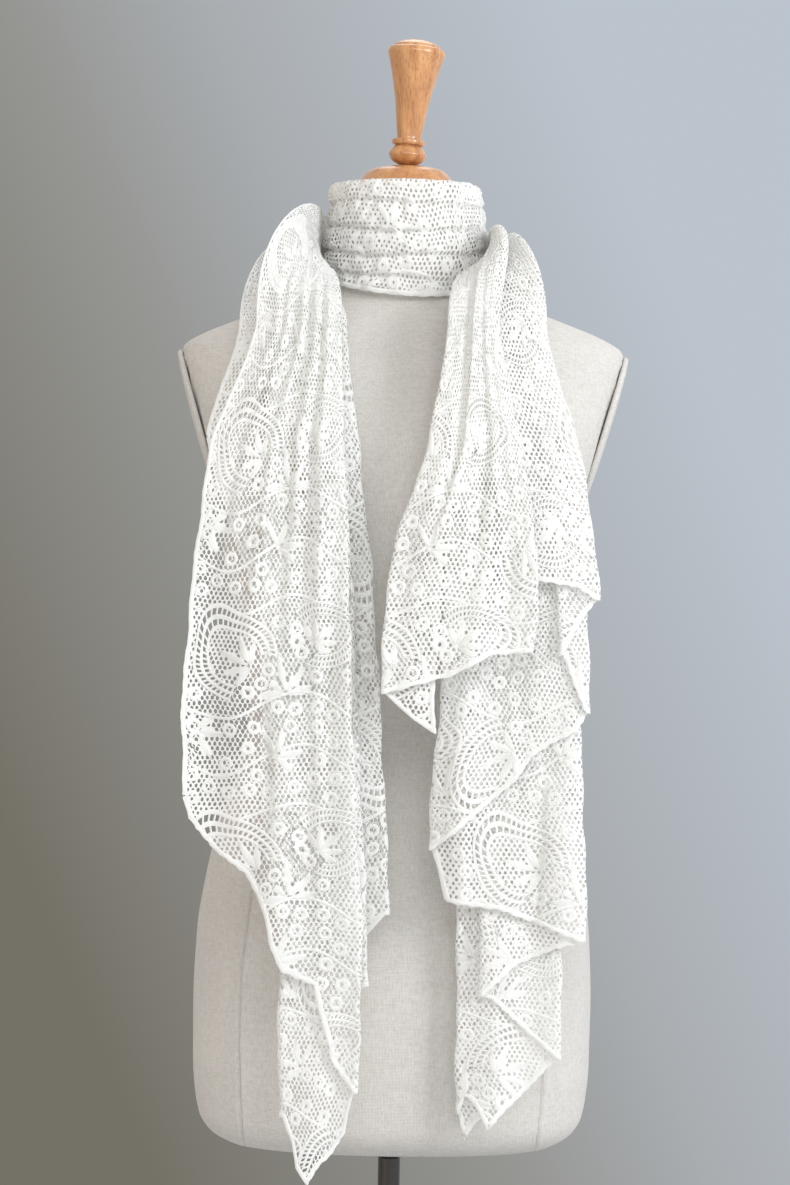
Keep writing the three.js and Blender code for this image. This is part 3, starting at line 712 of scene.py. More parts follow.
def ring_centres():
    """Scattered places of the repeat that keep clear of the other motifs and of each other."""
    rng = np.random.default_rng(RING_SEED)
    turn = np.linspace(0, TURN, RIM_SPOTS, endpoint=False)
    found = []
    for x, y in rng.uniform((0, 0), (TILE_W, TILE_H), (RING_TRIES, 2)):
        near = [wrapped(x - cx, y - cy) for cx, cy in found]
        if any(math.hypot(*d) < RING_SPACE for d in near):
            continue
        rim_x, rim_y = x + RING_CLEAR * np.cos(turn), y + RING_CLEAR * np.sin(turn)
        busy = any(in_leaf(leaf, rim_x, rim_y).any() for leaf in leaves(FANS))
        busy |= any((scroll_polar(s, rim_x, rim_y)[0] < SCROLL_RADIUS).any() for s in SCROLLS)
        busy |= any(abs(wrapped(0, y - stem_line(x, *stem))[1]) < RING_CLEAR for stem in STEMS)
        if not busy:
            found.append((x, y))
    radius, spots = FOOT_RINGS
    return found + [tuple(scroll_place(scroll, radius, t)) for scroll in SCROLLS for t in spots]


def outside_scrolls(part):
    """A strip without the faces that would run into a scroll."""
    places, lifts, quads = part
    middle = places[quads].mean(1)
    free = np.ones(len(quads), bool)
    for scroll in SCROLLS:
        free &= scroll_polar(scroll, middle[:, 0], middle[:, 1])[0] > CORDS[0][0]
    return places, lifts, quads[free]


def leaf_strip(leaf):
    """Raised rim and vein of a leaf."""
    fx, fy, angle, length, bend = leaf
    s = np.linspace(LEAF_FOOT, 1, LEAF_STEPS)
    u, v = s * length, bend * length * s * s
    line = np.stack([fx + u * math.cos(angle) - v * math.sin(angle),
                     fy + u * math.sin(angle) + v * math.cos(angle)], 1)
    return ribbon(line, leaf_half(s), LEAF)


def tile_motifs():
    """All raised strips of one repeat."""
    parts = []
    t = np.linspace(-SCROLL_OPEN, SCROLL_OPEN, SCROLL_STEPS)
    for scroll in SCROLLS:
        for inner, outer in CORDS:
            run = run_along(scroll_place(scroll, np.full(t.shape, (inner + outer) / 2), t))
            spots = np.interp(np.linspace(0, run[-1], round(run[-1] / CORD_STEP) + 1), run, t)
            rows = [scroll_place(scroll, lerp(inner, outer, (share + 1) / 2), spots) for share, _ in CORD]
            parts.append(strip(np.stack(rows, 1), CORD))
        for inner, outer, bars in LADDERS:
            count = round(bars * SCROLL_OPEN / math.pi)
            for n in range(count):
                spot = SCROLL_OPEN * (2 * (n + 0.5) / count - 1)
                line = scroll_place(scroll, np.array([inner, outer]), np.full(2, spot))
                parts.append(ribbon(line, BAR_HALF, CORD))
    parts += [leaf_strip(leaf) for leaf in leaves(INNER_FANS)]
    parts += [outside_scrolls(leaf_strip(leaf)) for leaf in leaves(FANS)]
    for stem in STEMS:
        x = np.linspace(0, TILE_W, STEM_STEPS)
        line = np.stack([x, stem_line(x, *stem)], 1)
        parts.append(outside_scrolls(ribbon(line, STEM_HALF, CORD)))
    for cx, cy in ring_centres():
        # every other corner stands out, like small petals
        turn = np.linspace(0, TURN, RING_SIDES + 1) + cx
        wide = RING_HALF * (1 + RING_PETALS * np.cos(np.arange(RING_SIDES + 1) * math.pi))
        around = np.stack([np.cos(turn), np.sin(turn)], 1)
        rows = [around * (RING + share * wide)[:, None] + [cx, cy] for share, _ in CORD]
        parts.append(strip(np.stack(rows, 1), CORD))
    return joined(parts)


MOTIFS = tile_motifs()


def scatter(a, b, seed):
    """Uneven values from -1 to 1 that depend only on the place."""
    v = np.sin(np.round(a * 10) * SCATTER_A + np.round(b * 10) * SCATTER_B + seed) * SCATTER_SCALE
    return 2 * (v - np.floor(v)) - 1


def drawn(places, surface):
    """Flat places with the cloth's net drawn a little out of line."""
    a, b = places[:, 0], places[:, 1]
    pull = surface.pull
    if surface.closed:
        # its two ends meet without a step
        pull = pull * np.clip(np.minimum(a, surface.width - a) / CALM_SEAM, 0, 1)
    return np.stack([a + pull * waves(DRAWN_ACROSS, a, b), b + pull * waves(DRAWN_DOWN, a, b)], 1)


def lace_net(low_a, high_a, high_b, surface):
    """Net of a stretch of cloth: flat places and faces. Cells past the hem are left out."""
    columns = np.arange(math.floor(low_a / PITCH) - 1, math.ceil(high_a / PITCH) + 1)
    rows = np.arange(0, math.ceil(high_b / ROW) + 1)
    i, k = [v.ravel() for v in np.meshgrid(columns, rows)]
    ca = (i + 0.5 * (k % 2)) * PITCH
    cb = k * ROW
    angles = np.radians(30 + 60 * np.arange(6))
    ring_a, ring_b = np.cos(angles), np.sin(angles)
    inside = (ca >= low_a) & (ca < high_a) & (cb < surface.hem_down(ca) - NET_CLEAR)
    ladder = lookup(BARE, ca, cb) & surface.ladders
    pulled_shut = ladder & surface.tight(ca, cb)
    keep = inside & (~ladder | pulled_shut)
    ca, cb, pulled_shut = ca[keep], cb[keep], pulled_shut[keep]
    corner_a = ca[:, None] + CELL_RADIUS * ring_a
    corner_b = cb[:, None] + CELL_RADIUS * ring_b
    # neighbours share corners, found by their place on a grid of half pitches
    key = np.stack([np.round(corner_a / (PITCH / 2)), np.round(corner_b / (CELL_RADIUS / 2))], 2).astype(int)
    _, first, inverse = np.unique(key.reshape(-1, 2), axis=0, return_index=True, return_inverse=True)
    rims = inverse.reshape(-1, 6)
    corners = np.stack([corner_a.ravel()[first], corner_b.ravel()[first]], 1)
    corners += CORNER_SHIFT * np.stack([scatter(*corners.T, 1), scatter(*corners.T, 2)], 1)
    shut = lookup(CLOSED, ca, cb) | surface.dense(ca, cb) | pulled_shut
    oa, ob = ca[~shut], cb[~shut]
    spread = np.clip((ob - GATHERED_TO[0]) / (GATHERED_TO[1] - GATHERED_TO[0]), 0, 1)
    patch = waves(PATCHES[0], oa, ob) * waves(PATCHES[1], oa, ob)
    reach = surface.hole * lerp(GATHERED_SHARE, 1, spread) * (1 + HOLE_PATCHES * patch)
    reach = (reach * (1 + HOLE_UNEVEN * scatter(oa, ob, 3)))[:, None]
    reach = reach * (1 + HOLE_CORNERS * scatter(oa[:, None] + ring_a, ob[:, None] + ring_b, 4))
    holes = np.stack([(oa[:, None] + HOLE_WIDE * reach * ring_a).ravel(),
                      (ob[:, None] + HOLE_LONG * reach * ring_b).ravel()], 1)
    inner = len(corners) + np.arange(len(oa) * 6).reshape(-1, 6)
    outer = rims[~shut]
    quads = [np.stack([outer[:, e], outer[:, (e + 1) % 6], inner[:, (e + 1) % 6], inner[:, e]], 1)
             for e in range(6)]
    quads += [rims[shut][:, [0, 1, 2, 3]], rims[shut][:, [0, 3, 4, 5]]]
    return np.concatenate([corners, holes]), np.concatenate(quads)


def motif_repeats(low, high, high_b, limit, free):
    """The raised strips of a stretch of cloth. Those past a free edge or the hem are left out."""
    tile_places, tile_lifts, tile_quads = MOTIFS
    parts = []
    for i in range(math.floor(low / TILE_W) - 1, math.ceil(high / TILE_W) + 1):
        for k in range(-1, math.ceil(high_b / TILE_H) + 1):
            places = tile_places + [i * TILE_W, k * TILE_H]
            a, b = places[:, 0], places[:, 1]
            inside = (b > MOTIF_CLEAR) & (b < limit(a) - MOTIF_CLEAR)
            inside &= (a > free[0] + MOTIF_CLEAR) & (a < free[1] - MOTIF_CLEAR)
            middle = a[tile_quads].mean(1)
            quads = tile_quads[inside[tile_quads].all(1) & (middle >= low) & (middle < high)]
            used, inverse = np.unique(quads, return_inverse=True)
            if len(used):
                parts.append((places[used], tile_lifts[used], inverse.reshape(-1, 4)))
    return joined(parts)


def mesh_object(name, points, quads, material, flat=None, span=None):
    """Mesh from points in millimetres and faces of four corners. With flat places it has one map in
    metres of cloth, and one that fits the whole piece."""
    mesh = bpy.data.meshes.new(name)
    mesh.vertices.add(len(points))
    mesh.vertices.foreach_set("co", (np.asarray(points, float) * MM).ravel())
    quads = np.asarray(quads, np.int32)
    mesh.loops.add(quads.size)
    mesh.loops.foreach_set("vertex_index", quads.ravel())
    mesh.polygons.add(len(quads))
    mesh.polygons.foreach_set("loop_start", np.arange(0, quads.size, 4, dtype=np.int32))
    mesh.update(calc_edges=True)
    if flat is not None:
        low, size = span
        for map_name, uv in (("Cloth", flat * MM), ("OFBake", np.clip((flat - low) / size, 0, 1))):
            layer = mesh.uv_layers.new(name=map_name)
            layer.uv.foreach_set("vector", uv[quads.ravel()].ravel())
    mesh.polygons.foreach_set("use_smooth", np.ones(len(quads), bool))
    mesh.materials.append(material)
    obj = bpy.data.objects.new(name, mesh)
    bpy.context.scene.collection.objects.link(obj)
    return obj


HEM_WIDTH = 4.0
HEM_STEP = 2.1
HEM_SECTION = [(0, 0.1), (0.3, 0.7), (0.7, 0.7), (1, 0.1)]
# Small waves of the borders: their length, and their height at the hem and at the side edges
SCALLOP = 13
HEM_WAVE = 0.5
SIDE_WAVE = 0.4
# The net is drawn in to this far from an edge, under the border
EDGE_CLEAR = 0.8
# Distance of the neighbouring places that give a surface its direction
PROBE = 0.6


def border(path, inward, wave):
    """Solid border of the cloth, from its edge inward."""
    shift = np.array([HEM_WIDTH * share for share, _ in HEM_SECTION]) + np.zeros((len(path), 1))
    shift[:, 0] += wave
    inward = np.broadcast_to(inward, path.shape)
    return strip(path[:, None, :] + inward[:, None, :] * shift[..., None], HEM_SECTION)


def surface_normals(surface, a, b):
    across = surface.point(a + PROBE, b) - surface.point(a - PROBE, b)
    down = surface.point(a, b + PROBE) - surface.point(a, b - PROBE)
    n = np.cross(across, down)
    return n / np.maximum(np.linalg.norm(n, axis=1, keepdims=True), 1e-9)


# Materials

def connect(node, inputs):
    """Sets inputs of a node: a value, or a link where another node's output is given."""
    for key, value in inputs.items():
        if isinstance(value, bpy.types.NodeSocket):
            node.id_data.links.new(value, node.inputs[key])
        else:
            node.inputs[key].default_value = value


def add_node(tree, kind, inputs, **settings):
    node = tree.nodes.new(f"ShaderNode{kind}")
    for key, value in settings.items():
        setattr(node, key, value)
    connect(node, inputs)
    return node


def node_material(name):
    mat = bpy.data.materials.new(name)
    mat.use_nodes = True
    return mat, mat.node_tree, mat.node_tree.nodes["Principled BSDF"]


def noise(tree, coords, scale, detail, stretch=(1, 1, 1)):
    placed = add_node(tree, "Mapping", {"Vector": coords, "Scale": stretch})
    inputs = {"Vector": placed.outputs["Vector"], "Scale": scale, "Detail": detail}
    return add_node(tree, "TexNoise", inputs).outputs["Fac"]


def wave(tree, coords, scale, direction, distortion):
    inputs = {"Vector": coords, "Scale": scale, "Distortion": distortion, "Detail": 1.0}
    return add_node(tree, "TexWave", inputs, wave_type="BANDS", bands_direction=direction).outputs["Fac"]


def ramp(tree, fac, stops):
    node = add_node(tree, "ValToRGB", {"Fac": fac})
    while len(node.color_ramp.elements) < len(stops):
        node.color_ramp.elements.new(0.5)
    for element, (place, color) in zip(node.color_ramp.elements, stops):
        element.position = place
        element.color = (*color, 1)
    return node.outputs["Color"]


def multiplied(tree, first, second):
    inputs = {"Factor": 1.0, "A": first, "B": second}
    return add_node(tree, "Mix", inputs, data_type="RGBA", blend_type="MULTIPLY").outputs["Result"]


def bump(tree, height, strength, distance, before=None):
    inputs = {"Height": height, "Strength": strength, "Distance": distance}
    if before is not None:
        inputs["Normal"] = before
    return add_node(tree, "Bump", inputs).outputs["Normal"]


def lace_material(name, dark, light):
    """Cotton yarn: fine threads, soft sheen, and some light that comes through."""
    mat, tree, bsdf = node_material(name)
    uv = add_node(tree, "UVMap", {}, uv_map="Cloth").outputs["UV"]
    threads = bump(tree, wave(tree, uv, 260, "DIAGONAL", 2.5), 0.3, 0.0004)
    connect(bsdf, {
        "Base Color": ramp(tree, noise(tree, uv, 60, 3), [(0.3, dark), (0.7, light)]),
        "Roughness": 0.82,
        "Sheen Weight": 0.25,
        "Sheen Roughness": 0.5,
        "Specular IOR Level": 0.25,
        "Normal": bump(tree, noise(tree, uv, 520, 2), 0.35, 0.0006, threads),
    })
    through = add_node(tree, "BsdfTranslucent", {"Color": (*light, 1)})
    both = add_node(tree, "MixShader", {0: 0.3, 1: bsdf.outputs["BSDF"], 2: through.outputs["BSDF"]})
    connect(tree.nodes["Material Output"], {"Surface": both.outputs["Shader"]})
    return mat


def linen_material(name):
    """Plain weave with uneven, slightly darker threads."""
    mat, tree, bsdf = node_material(name)
    coords = add_node(tree, "TexCoord", {}).outputs["Object"]
    tone = noise(tree, coords, 9, 4)
    slub = noise(tree, coords, 900, 2, (1, 1, 0.22))
    cross = noise(tree, coords, 700, 2, (0.2, 0.2, 1))
    base = ramp(tree, tone, [(0.3, (0.60, 0.578, 0.548)), (0.7, (0.67, 0.648, 0.613))])
    fleck = ramp(tree, slub, [(0.3, (0.88, 0.87, 0.85)), (0.62, (1.0, 1.0, 1.0))])
    pick = ramp(tree, cross, [(0.3, (0.92, 0.91, 0.9)), (0.6, (1.0, 1.0, 1.0))])
    weft = bump(tree, wave(tree, coords, 260, "Z", 2.0), 0.3, 0.0004)
    connect(bsdf, {
        "Base Color": multiplied(tree, multiplied(tree, base, fleck), pick),
        "Roughness": 0.9,
        "Sheen Weight": 0.15,
        "Specular IOR Level": 0.2,
        "Normal": bump(tree, wave(tree, coords, 260, "X", 2.0), 0.3, 0.0004, weft),
    })
    return mat


def wood_material(name):
    """Varnished wood with upright grain."""
    mat, tree, bsdf = node_material(name)
    coords = add_node(tree, "TexCoord", {}).outputs["Object"]
    grain = noise(tree, coords, 120, 4, (1, 1, 0.06))
    pores = noise(tree, coords, 700, 2, (1, 1, 0.03))
    tones = [(0.25, (0.40, 0.165, 0.055)), (0.5, (0.55, 0.26, 0.10)), (0.75, (0.66, 0.35, 0.15))]
    dark = ramp(tree, pores, [(0.35, (0.76, 0.7, 0.64)), (0.5, (1, 1, 1))])
    connect(bsdf, {
        "Base Color": multiplied(tree, ramp(tree, grain, tones), dark),
        "Roughness": 0.33,
        "Coat Weight": 0.6,
        "Coat Roughness": 0.12,
        "Normal": bump(tree, grain, 0.12, 0.0004),
    })
    return mat


def metal_material(name, color, roughness, metallic):
    """Metal with faint upright rubbing marks."""
    mat, tree, bsdf = node_material(name)
    coords = add_node(tree, "TexCoord", {}).outputs["Object"]
    rub = noise(tree, coords, 260, 3, (1, 1, 0.08))
    connect(bsdf, {
        "Base Color": ramp(tree, rub, [(0.3, [c * 0.8 for c in color]), (0.7, color)]),
        "Roughness": roughness,
        "Metallic": metallic,
        "Normal": bump(tree, rub, 0.08, 0.0002),
    })
    return mat


# The left fall's lace is a little darker than the right's: painted shade, as both falls are the same cloth
LACE_LEFT_PAINTED_SHADE = lace_material("lace_left_painted_shade", (0.84, 0.838, 0.815), (0.92, 0.918, 0.895))
LACE_RIGHT = lace_material("lace_right", (0.87, 0.868, 0.845), (0.94, 0.938, 0.915))
LINEN = linen_material("linen")
WOOD = wood_material("varnished_wood")
STEEL = metal_material("pole_steel", (0.085, 0.08, 0.075), 0.3, 1.0)
DARK = metal_material("base_metal", (0.10, 0.10, 0.10), 0.42, 0.6)


# The shawl

def finish_piece(obj, slot_name, *nodes):
    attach(obj, "root")
    if nodes:
        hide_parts(*nodes)


def lace_shape(surface, low, high, free):
    """A stretch of lace between two places across the cloth, with borders at its hem and at the
    finite ones of its free edges: flat places, points, faces, and how far down it reaches."""
    limit = surface.hem_down
    a = np.linspace(low, high, round((high - low) / HEM_STEP))
    high_b = float(limit(a).max())
    net, net_quads = lace_net(low, high, high_b, surface)
    parts = [(net, np.zeros(len(net)), net_quads), motif_repeats(low, high, high_b, limit, free)]
    for places, _, _ in parts:
        places[:] = drawn(places, surface)
        places[:, 0] = np.clip(places[:, 0], free[0] + EDGE_CLEAR, free[1] - EDGE_CLEAR)
        places[:, 1] = np.clip(places[:, 1], 0, limit(places[:, 0]) - EDGE_CLEAR)
    path = np.stack([a, limit(a)], 1)
    tangent = np.gradient(path, axis=0)
    tangent /= np.linalg.norm(tangent, axis=1, keepdims=True)
    inward = np.stack([tangent[:, 1], -tangent[:, 0]], 1)
    parts.append(border(path, inward, HEM_WAVE * np.sin(path.sum(1) * TURN / SCALLOP)))
    for place, turn in zip(free, (1, -1)):
        if math.isfinite(place):
            b = np.arange(0, float(limit(np.array([place]))[0]), HEM_STEP * 2)
            path = np.stack([np.full(len(b), float(place)), b], 1)
            parts.append(border(path, [turn, 0], SIDE_WAVE * np.sin(b * TURN / SCALLOP)))
    if surface.top_border:
        parts.append(border(np.stack([a, np.zeros(len(a))], 1), [0, 1], 0))
    places, lifts, quads = joined(parts)
    points = surface.point(places[:, 0], places[:, 1])
    raised = lifts > 0
    at = places[raised]
    out = surface_normals(surface, at[:, 0], at[:, 1])
    points[raised] += out * (lifts[raised] * surface.facing(at[:, 0], at[:, 1]))[:, None]
    return places, points, quads, high_b


def cloth_piece(name, surface, low, high, free, material, nodes):
    """A piece of lace, with its flat size for its maps."""
    places, points, quads, long = lace_shape(surface, low, high, free)
    width = high - low
    span = (np.array([low, 0.0]), np.array([width, long]))
    obj = mesh_object(name, points, quads, material, places, span)
    finish_piece(obj, "lace", *nodes)


def fall_pieces(name, spec, creases, cuts, material, node):
    """The lace of one fall, in a few pieces that meet behind a fold."""
    fall = Fall(spec, creases)
    bounds = [0.0, *[float(fall.edges[2 * j]) for j in cuts], float(fall.width)]
    last = len(bounds) - 2
    for n, (low, high) in enumerate(zip(bounds, bounds[1:])):
        free = (low if n == 0 else -math.inf, high if n == last else math.inf)
        nodes = [node] if n == 0 else []
        cloth_piece(f"{name}_{n + 1}", fall, low, high, free, material, nodes)


fall_pieces("shawl_lace_left", LEFT, CREASES["left"], [1, 3], LACE_LEFT_PAINTED_SHADE, "shawl_fall_left")
fall_pieces("shawl_lace_right", RIGHT, CREASES["right"], [4, 7, 9], LACE_RIGHT, "shawl_fall_right")
cloth_piece("shawl_lace_neck", Wrap(), 0.0, WRAP_AROUND, (-math.inf, math.inf), LACE_RIGHT,
            ["shawl_neck_wrap"])
cloth_piece("shawl_lace_nape", Nape(), 0.0, NAPE_ACROSS, (0.0, NAPE_ACROSS), LACE_RIGHT,
            ["shawl_nape_crossing"])


# The dress form

HEM_HEIGHT = 608
BODY = [
    (608, 138, 84, 82, 2.2), (614, 153, 97, 95, 2.2), (628, 163, 106, 104, 2.2), (662, 169, 110, 110, 2.2),
    (740, 170, 112, 114, 2.2), (800, 167, 110, 110, 2.2), (860, 156, 102, 98, 2.2), (920, 136, 92, 84, 2.2),
    (980, 124, 88, 78, 2.2), (1040, 132, 94, 82, 2.2), (1090, 146, 108, 88, 2.3), (1140, 160, 118, 93, 2.4),
    (1190, 172, 114, 96, 2.5), (1235, 184, 100, 95, 2.6), (1270, 190, 86, 88, 2.6), (1290, 189, 78, 81, 2.5),
    (1302, 166, 73, 76, 2.4), (1316, 130, 65, 70, 2.0), (1330, 91, 59, 64, 1.6), (1344, 63, 58, 60, 2.0),
    (1356, 57.5, 57.5, 57.5, 2.0), (1427, 57.5, 57.5, 57.5, 2.0),
]
# Rings between these heights: from, to and how many
RING_RUNS = [(608, 640, 12), (645, 1265, 86), (1270, 1366, 42), (1372, 1427, 8)]
PLATE_FACE_X = 168
PLATE_CENTRE_HEIGHT = 1214
PLATE_LEAN = 0.3
PLATE_HALF_HEIGHT = 74
PLATE_HALF_DEPTH = 50
# The flat face of the armhole starts softly below the plate
PLATE_FROM = 1108
PLATE_SOFT = 26
PLATE_EDGE = 18

# Sewn seams of the body: the shaping seams' x at height, the same in front and behind
PRINCESS = [(600, 122), (650, 126), (700, 128), (760, 127), (826, 119), (880, 107), (930, 92), (980, 81),
            (1040, 81), (1100, 87), (1200, 98), (1330, 88)]
SEAM_STEPS = [0, 0.5, 1.0, 1.6, 2.4, 3.6, 5.0, 6.8]
BETWEEN = 7
SIDE_SEAM_TOP = 1128
SEAM_TOP = 1322
SEAM_DEPTH = 2.2
SEAM_HALF = 1.1
WELT_RISE = 0.8
WELT_AT = 3.4
WELT_HALF = 1.7
# Height over which a seam fades out at its top
SEAM_FADE = 8
# The most of the half width where a shaping seam lies, and of the way to the next seam that the
# columns close to it take
SEAM_OUTMOST = 0.96
SEAM_REACH = 0.25
SOFTENINGS = 4
# Flat ends of the body: shares of their ring's size, drawn in almost to a point
END_SHARES = (0.6, 0.2, 0.004)


def outline_point(half, front, back, square, angle):
    """Place on the rounded outline of one ring."""
    c, s = np.cos(angle), np.sin(angle)
    power = 2 / square
    depth = np.where(s < 0, front, back)
    return half * np.sign(c) * np.abs(c) ** power, depth * np.sign(s) * np.abs(s) ** power


def seam_profile(step):
    """How deep the cloth lies at a distance from a seam: a narrow groove between two low welts."""
    return (SEAM_DEPTH * math.exp(-(step / SEAM_HALF) ** 2)
            - WELT_RISE * math.exp(-((step - WELT_AT) / WELT_HALF) ** 2))


def ring_columns(half, front, back, square, z):
    """Angles round one ring, close together at the seams, and the depth of the seams there."""
    seam_x = np.interp(z, [p[0] for p in PRINCESS], [p[1] for p in PRINCESS])
    first = math.acos(min(seam_x / half, SEAM_OUTMOST) ** (square / 2))
    side = min(max((SIDE_SEAM_TOP - z) / SEAM_FADE, 0), 1)
    sewn = min(max((SEAM_TOP - z) / SEAM_FADE, 0), 1)
    # seams counted round from the viewer's right side over the back
    keys = [(0, side), (first, sewn), (math.pi / 2, sewn), (math.pi - first, sewn), (math.pi, side),
            (math.pi + first, sewn), (1.5 * math.pi, 0), (TURN - first, sewn), (TURN, side)]
    angles, depths = [], []
    for (here, depth), (after, next_depth) in zip(keys, keys[1:]):
        # length for each turn of angle, a bit in from the seam
        probe = np.array([lerp(here, after, 0.1), lerp(here, after, 0.2)])
        x, y = outline_point(half, front, back, square, probe)
        speed = math.hypot(x[1] - x[0], y[1] - y[0]) / (probe[1] - probe[0])
        most = (after - here) * SEAM_REACH
        near = [min(step / speed, most * step / SEAM_STEPS[-1]) for step in SEAM_STEPS]
        end = after - near[-1]
        middle = list(np.linspace(here + near[-1], end, BETWEEN + 2)[1:-1])
        spots = [here + n for n in near] + middle + [after - n for n in reversed(near[1:])]
        sunk = [seam_profile(step) for step in SEAM_STEPS]
        angles += spots
        depths += [depth * f for f in sunk] + [0] * BETWEEN + [next_depth * f for f in reversed(sunk[1:])]
    return np.array(angles), np.array(depths)


def ring_quads(rings, sides):
    """Faces between closed rings of points."""
    i = np.arange(sides)
    n = (i + 1) % sides
    return np.concatenate([np.stack([i, n, n + sides, i + sides], 1) + k * sides for k in range(rings - 1)])


def body_mesh():
    table = np.array(BODY, float)
    z = np.concatenate([np.linspace(low, high, count) for low, high, count in RING_RUNS])
    cols = [np.interp(z, table[:, 0], table[:, c]) for c in range(1, 5)]
    # soften the corners of the straight lines between the rings
    for _ in range(SOFTENINGS):
        for c in cols:
            c[1:-1] = (c[:-2] + 2 * c[1:-1] + c[2:]) / 4
    rows = []
    for half, front, back, square, height in zip(*cols, z):
        angle, depth = ring_columns(half, front, back, square, height)
        x, y = outline_point(half, front, back, square, angle)
        if height > PLATE_FROM:
            limit = PLATE_FACE_X + (height - PLATE_CENTRE_HEIGHT) * PLATE_LEAN
            limit += PLATE_EDGE * max(1 - (height - PLATE_FROM) / PLATE_SOFT, 0)
            x = np.clip(x, -limit, limit)
        pull = 1 - depth / np.maximum(np.hypot(x, y), 1)
        rows.append(np.stack([x * pull, y * pull, np.full(len(x), height)], 1))
    low, high = [[end * [share, share, 1] for share in END_SHARES] for end in (rows[0], rows[-1])]
    rows = low[::-1] + rows + high
    return np.concatenate(rows), ring_quads(len(rows), len(rows[0]))


body = mesh_object("dress_form_body", *body_mesh(), LINEN)
finish_piece(body, "linen", "form_torso")


def lathe(name, profile, sides, material):
    """Turned piece from (radius, height) pairs, first and last on the axis."""
    profile = np.array(profile, float)
    angle = np.linspace(0, TURN, sides, endpoint=False)
    points = np.stack([
        profile[:, 0, None] * np.cos(angle), profile[:, 0, None] * np.sin(angle),
        np.repeat(profile[:, 1, None], sides, 1)], 2).reshape(-1, 3)
    return mesh_object(name, points, ring_quads(len(profile), sides), material)


# Arm plate from its back over the corded rim to the middle: share of the radius, and height
PLATE_LINE = [(0.02, 0.2), (0.9, 0.2), (1.0, 0.4), (1.012, 2.2), (1.0, 4.2), (0.975, 5.0), (0.955, 4.4),
              (0.93, 5.2), (0.85, 6.0), (0.6, 7.0), (0.3, 7.7), (0.02, 8.0)]


def arm_plate(side):
    """Oval armhole cover with a low dome and a corded rim."""
    word = "left" if side < 0 else "right"
    obj = lathe(f"arm_plate_{word}_cover", PLATE_LINE, 96, LINEN)
    tilt = math.atan(PLATE_LEAN)
    out = Vector((side * math.cos(tilt), 0, -math.sin(tilt)))
    up = Vector((side * math.sin(tilt), 0, math.cos(tilt)))
    deep = out.cross(up)
    # the lathe's own unit radius becomes the oval, and its axis points out of the armhole
    columns = [up * PLATE_HALF_HEIGHT, deep * PLATE_HALF_DEPTH, out]
    place = Matrix([[c[row] for c in columns] for row in range(3)])
    centre = Vector((side * PLATE_FACE_X, 0, PLATE_CENTRE_HEIGHT)) * MM
    for v in obj.data.vertices:
        v.co = place @ v.co + centre
    obj.data.update()
    finish_piece(obj, "linen", f"form_arm_plate_{word}")


arm_plate(-1)
arm_plate(1)

CAP_RADIUS = 43
CAP_HEIGHT = 19
CAP_FOOT = NECK_TOP + 0.3
CAP_LINE, _ = smooth_path([
    (CAP_RADIUS - 1, CAP_FOOT), (CAP_RADIUS, CAP_FOOT + 1.5), (CAP_RADIUS - 1.5, CAP_FOOT + 4),
    (CAP_RADIUS * 0.75, CAP_FOOT + CAP_HEIGHT * 0.75), (CAP_RADIUS * 0.4, CAP_FOOT + CAP_HEIGHT * 0.95),
    (0.05, CAP_FOOT + CAP_HEIGHT)], 40)
cap = lathe("neck_cap_wood", [(0.05, CAP_FOOT), *CAP_LINE], 96, WOOD)
finish_piece(cap, "varnished_wood", "form_neck_cap")

# Knob: bead, collar, flared grip, groove and domed top
KNOB = [
    (7, 0), (13, 3), (16, 7.5), (16, 10), (13.5, 14.5), (11, 16.5), (14, 17.5), (14, 21.5), (10.5, 22.5),
    (12, 35), (15.5, 58), (21, 82), (24.5, 94), (25, 96.5), (24, 99.5), (22, 101), (21.2, 101.3),
    (19.5, 103.5), (13, 106.6), (6, 107.8), (0.05, 108),
]
KNOB_LEAN = math.radians(4.2)
KNOB_LINE, _ = smooth_path(KNOB, 96)
knob = lathe("finial_wood", [(0.05, 0), *KNOB_LINE], 72, WOOD)
knob_foot = Matrix.Translation((0, 0, (NECK_TOP + CAP_HEIGHT + 0.9) * MM))
knob.data.transform(knob_foot @ Matrix.Rotation(KNOB_LEAN, 4, "Y"))
finish_piece(knob, "varnished_wood", "form_finial")

POLE_TOP = HEM_HEIGHT - 0.3
POLE_LINE = [(0.05, 12.3), (24, 12.3), (24, 20), (14, 32), (9.75, 36), (9.75, POLE_TOP - 14),
             (22, POLE_TOP - 10), (22, POLE_TOP), (0.05, POLE_TOP)]
BASE_LINE = [(0.05, 0), (204.4, 0), (205, 0.6), (205, 6), (203.5, 8.4), (201, 9.6), (123, 12), (0.05, 12)]
pole = lathe("pole_tube", POLE_LINE, 64, STEEL)
finish_piece(pole, "steel", "stand_pole")
foot = lathe("base_disc", BASE_LINE, 128, DARK)
finish_piece(foot, "dark_metal", "stand_base")
for turned in (pole, foot):
    turned.data.set_sharp_from_angle(angle=math.radians(35))


# Floor, light and camera

FLOOR_HALF = 2400
FLOOR_CORNERS = [(-FLOOR_HALF, -FLOOR_HALF, 0), (FLOOR_HALF, -FLOOR_HALF, 0), (FLOOR_HALF, FLOOR_HALF, 0),
                 (-FLOOR_HALF, FLOOR_HALF, 0)]
FLOOR, _, floor_shader = node_material("floor")
connect(floor_shader, {"Base Color": (0.62, 0.63, 0.64, 1), "Roughness": 0.8})
mesh_object("floor", FLOOR_CORNERS, [(0, 1, 2, 3)], FLOOR)
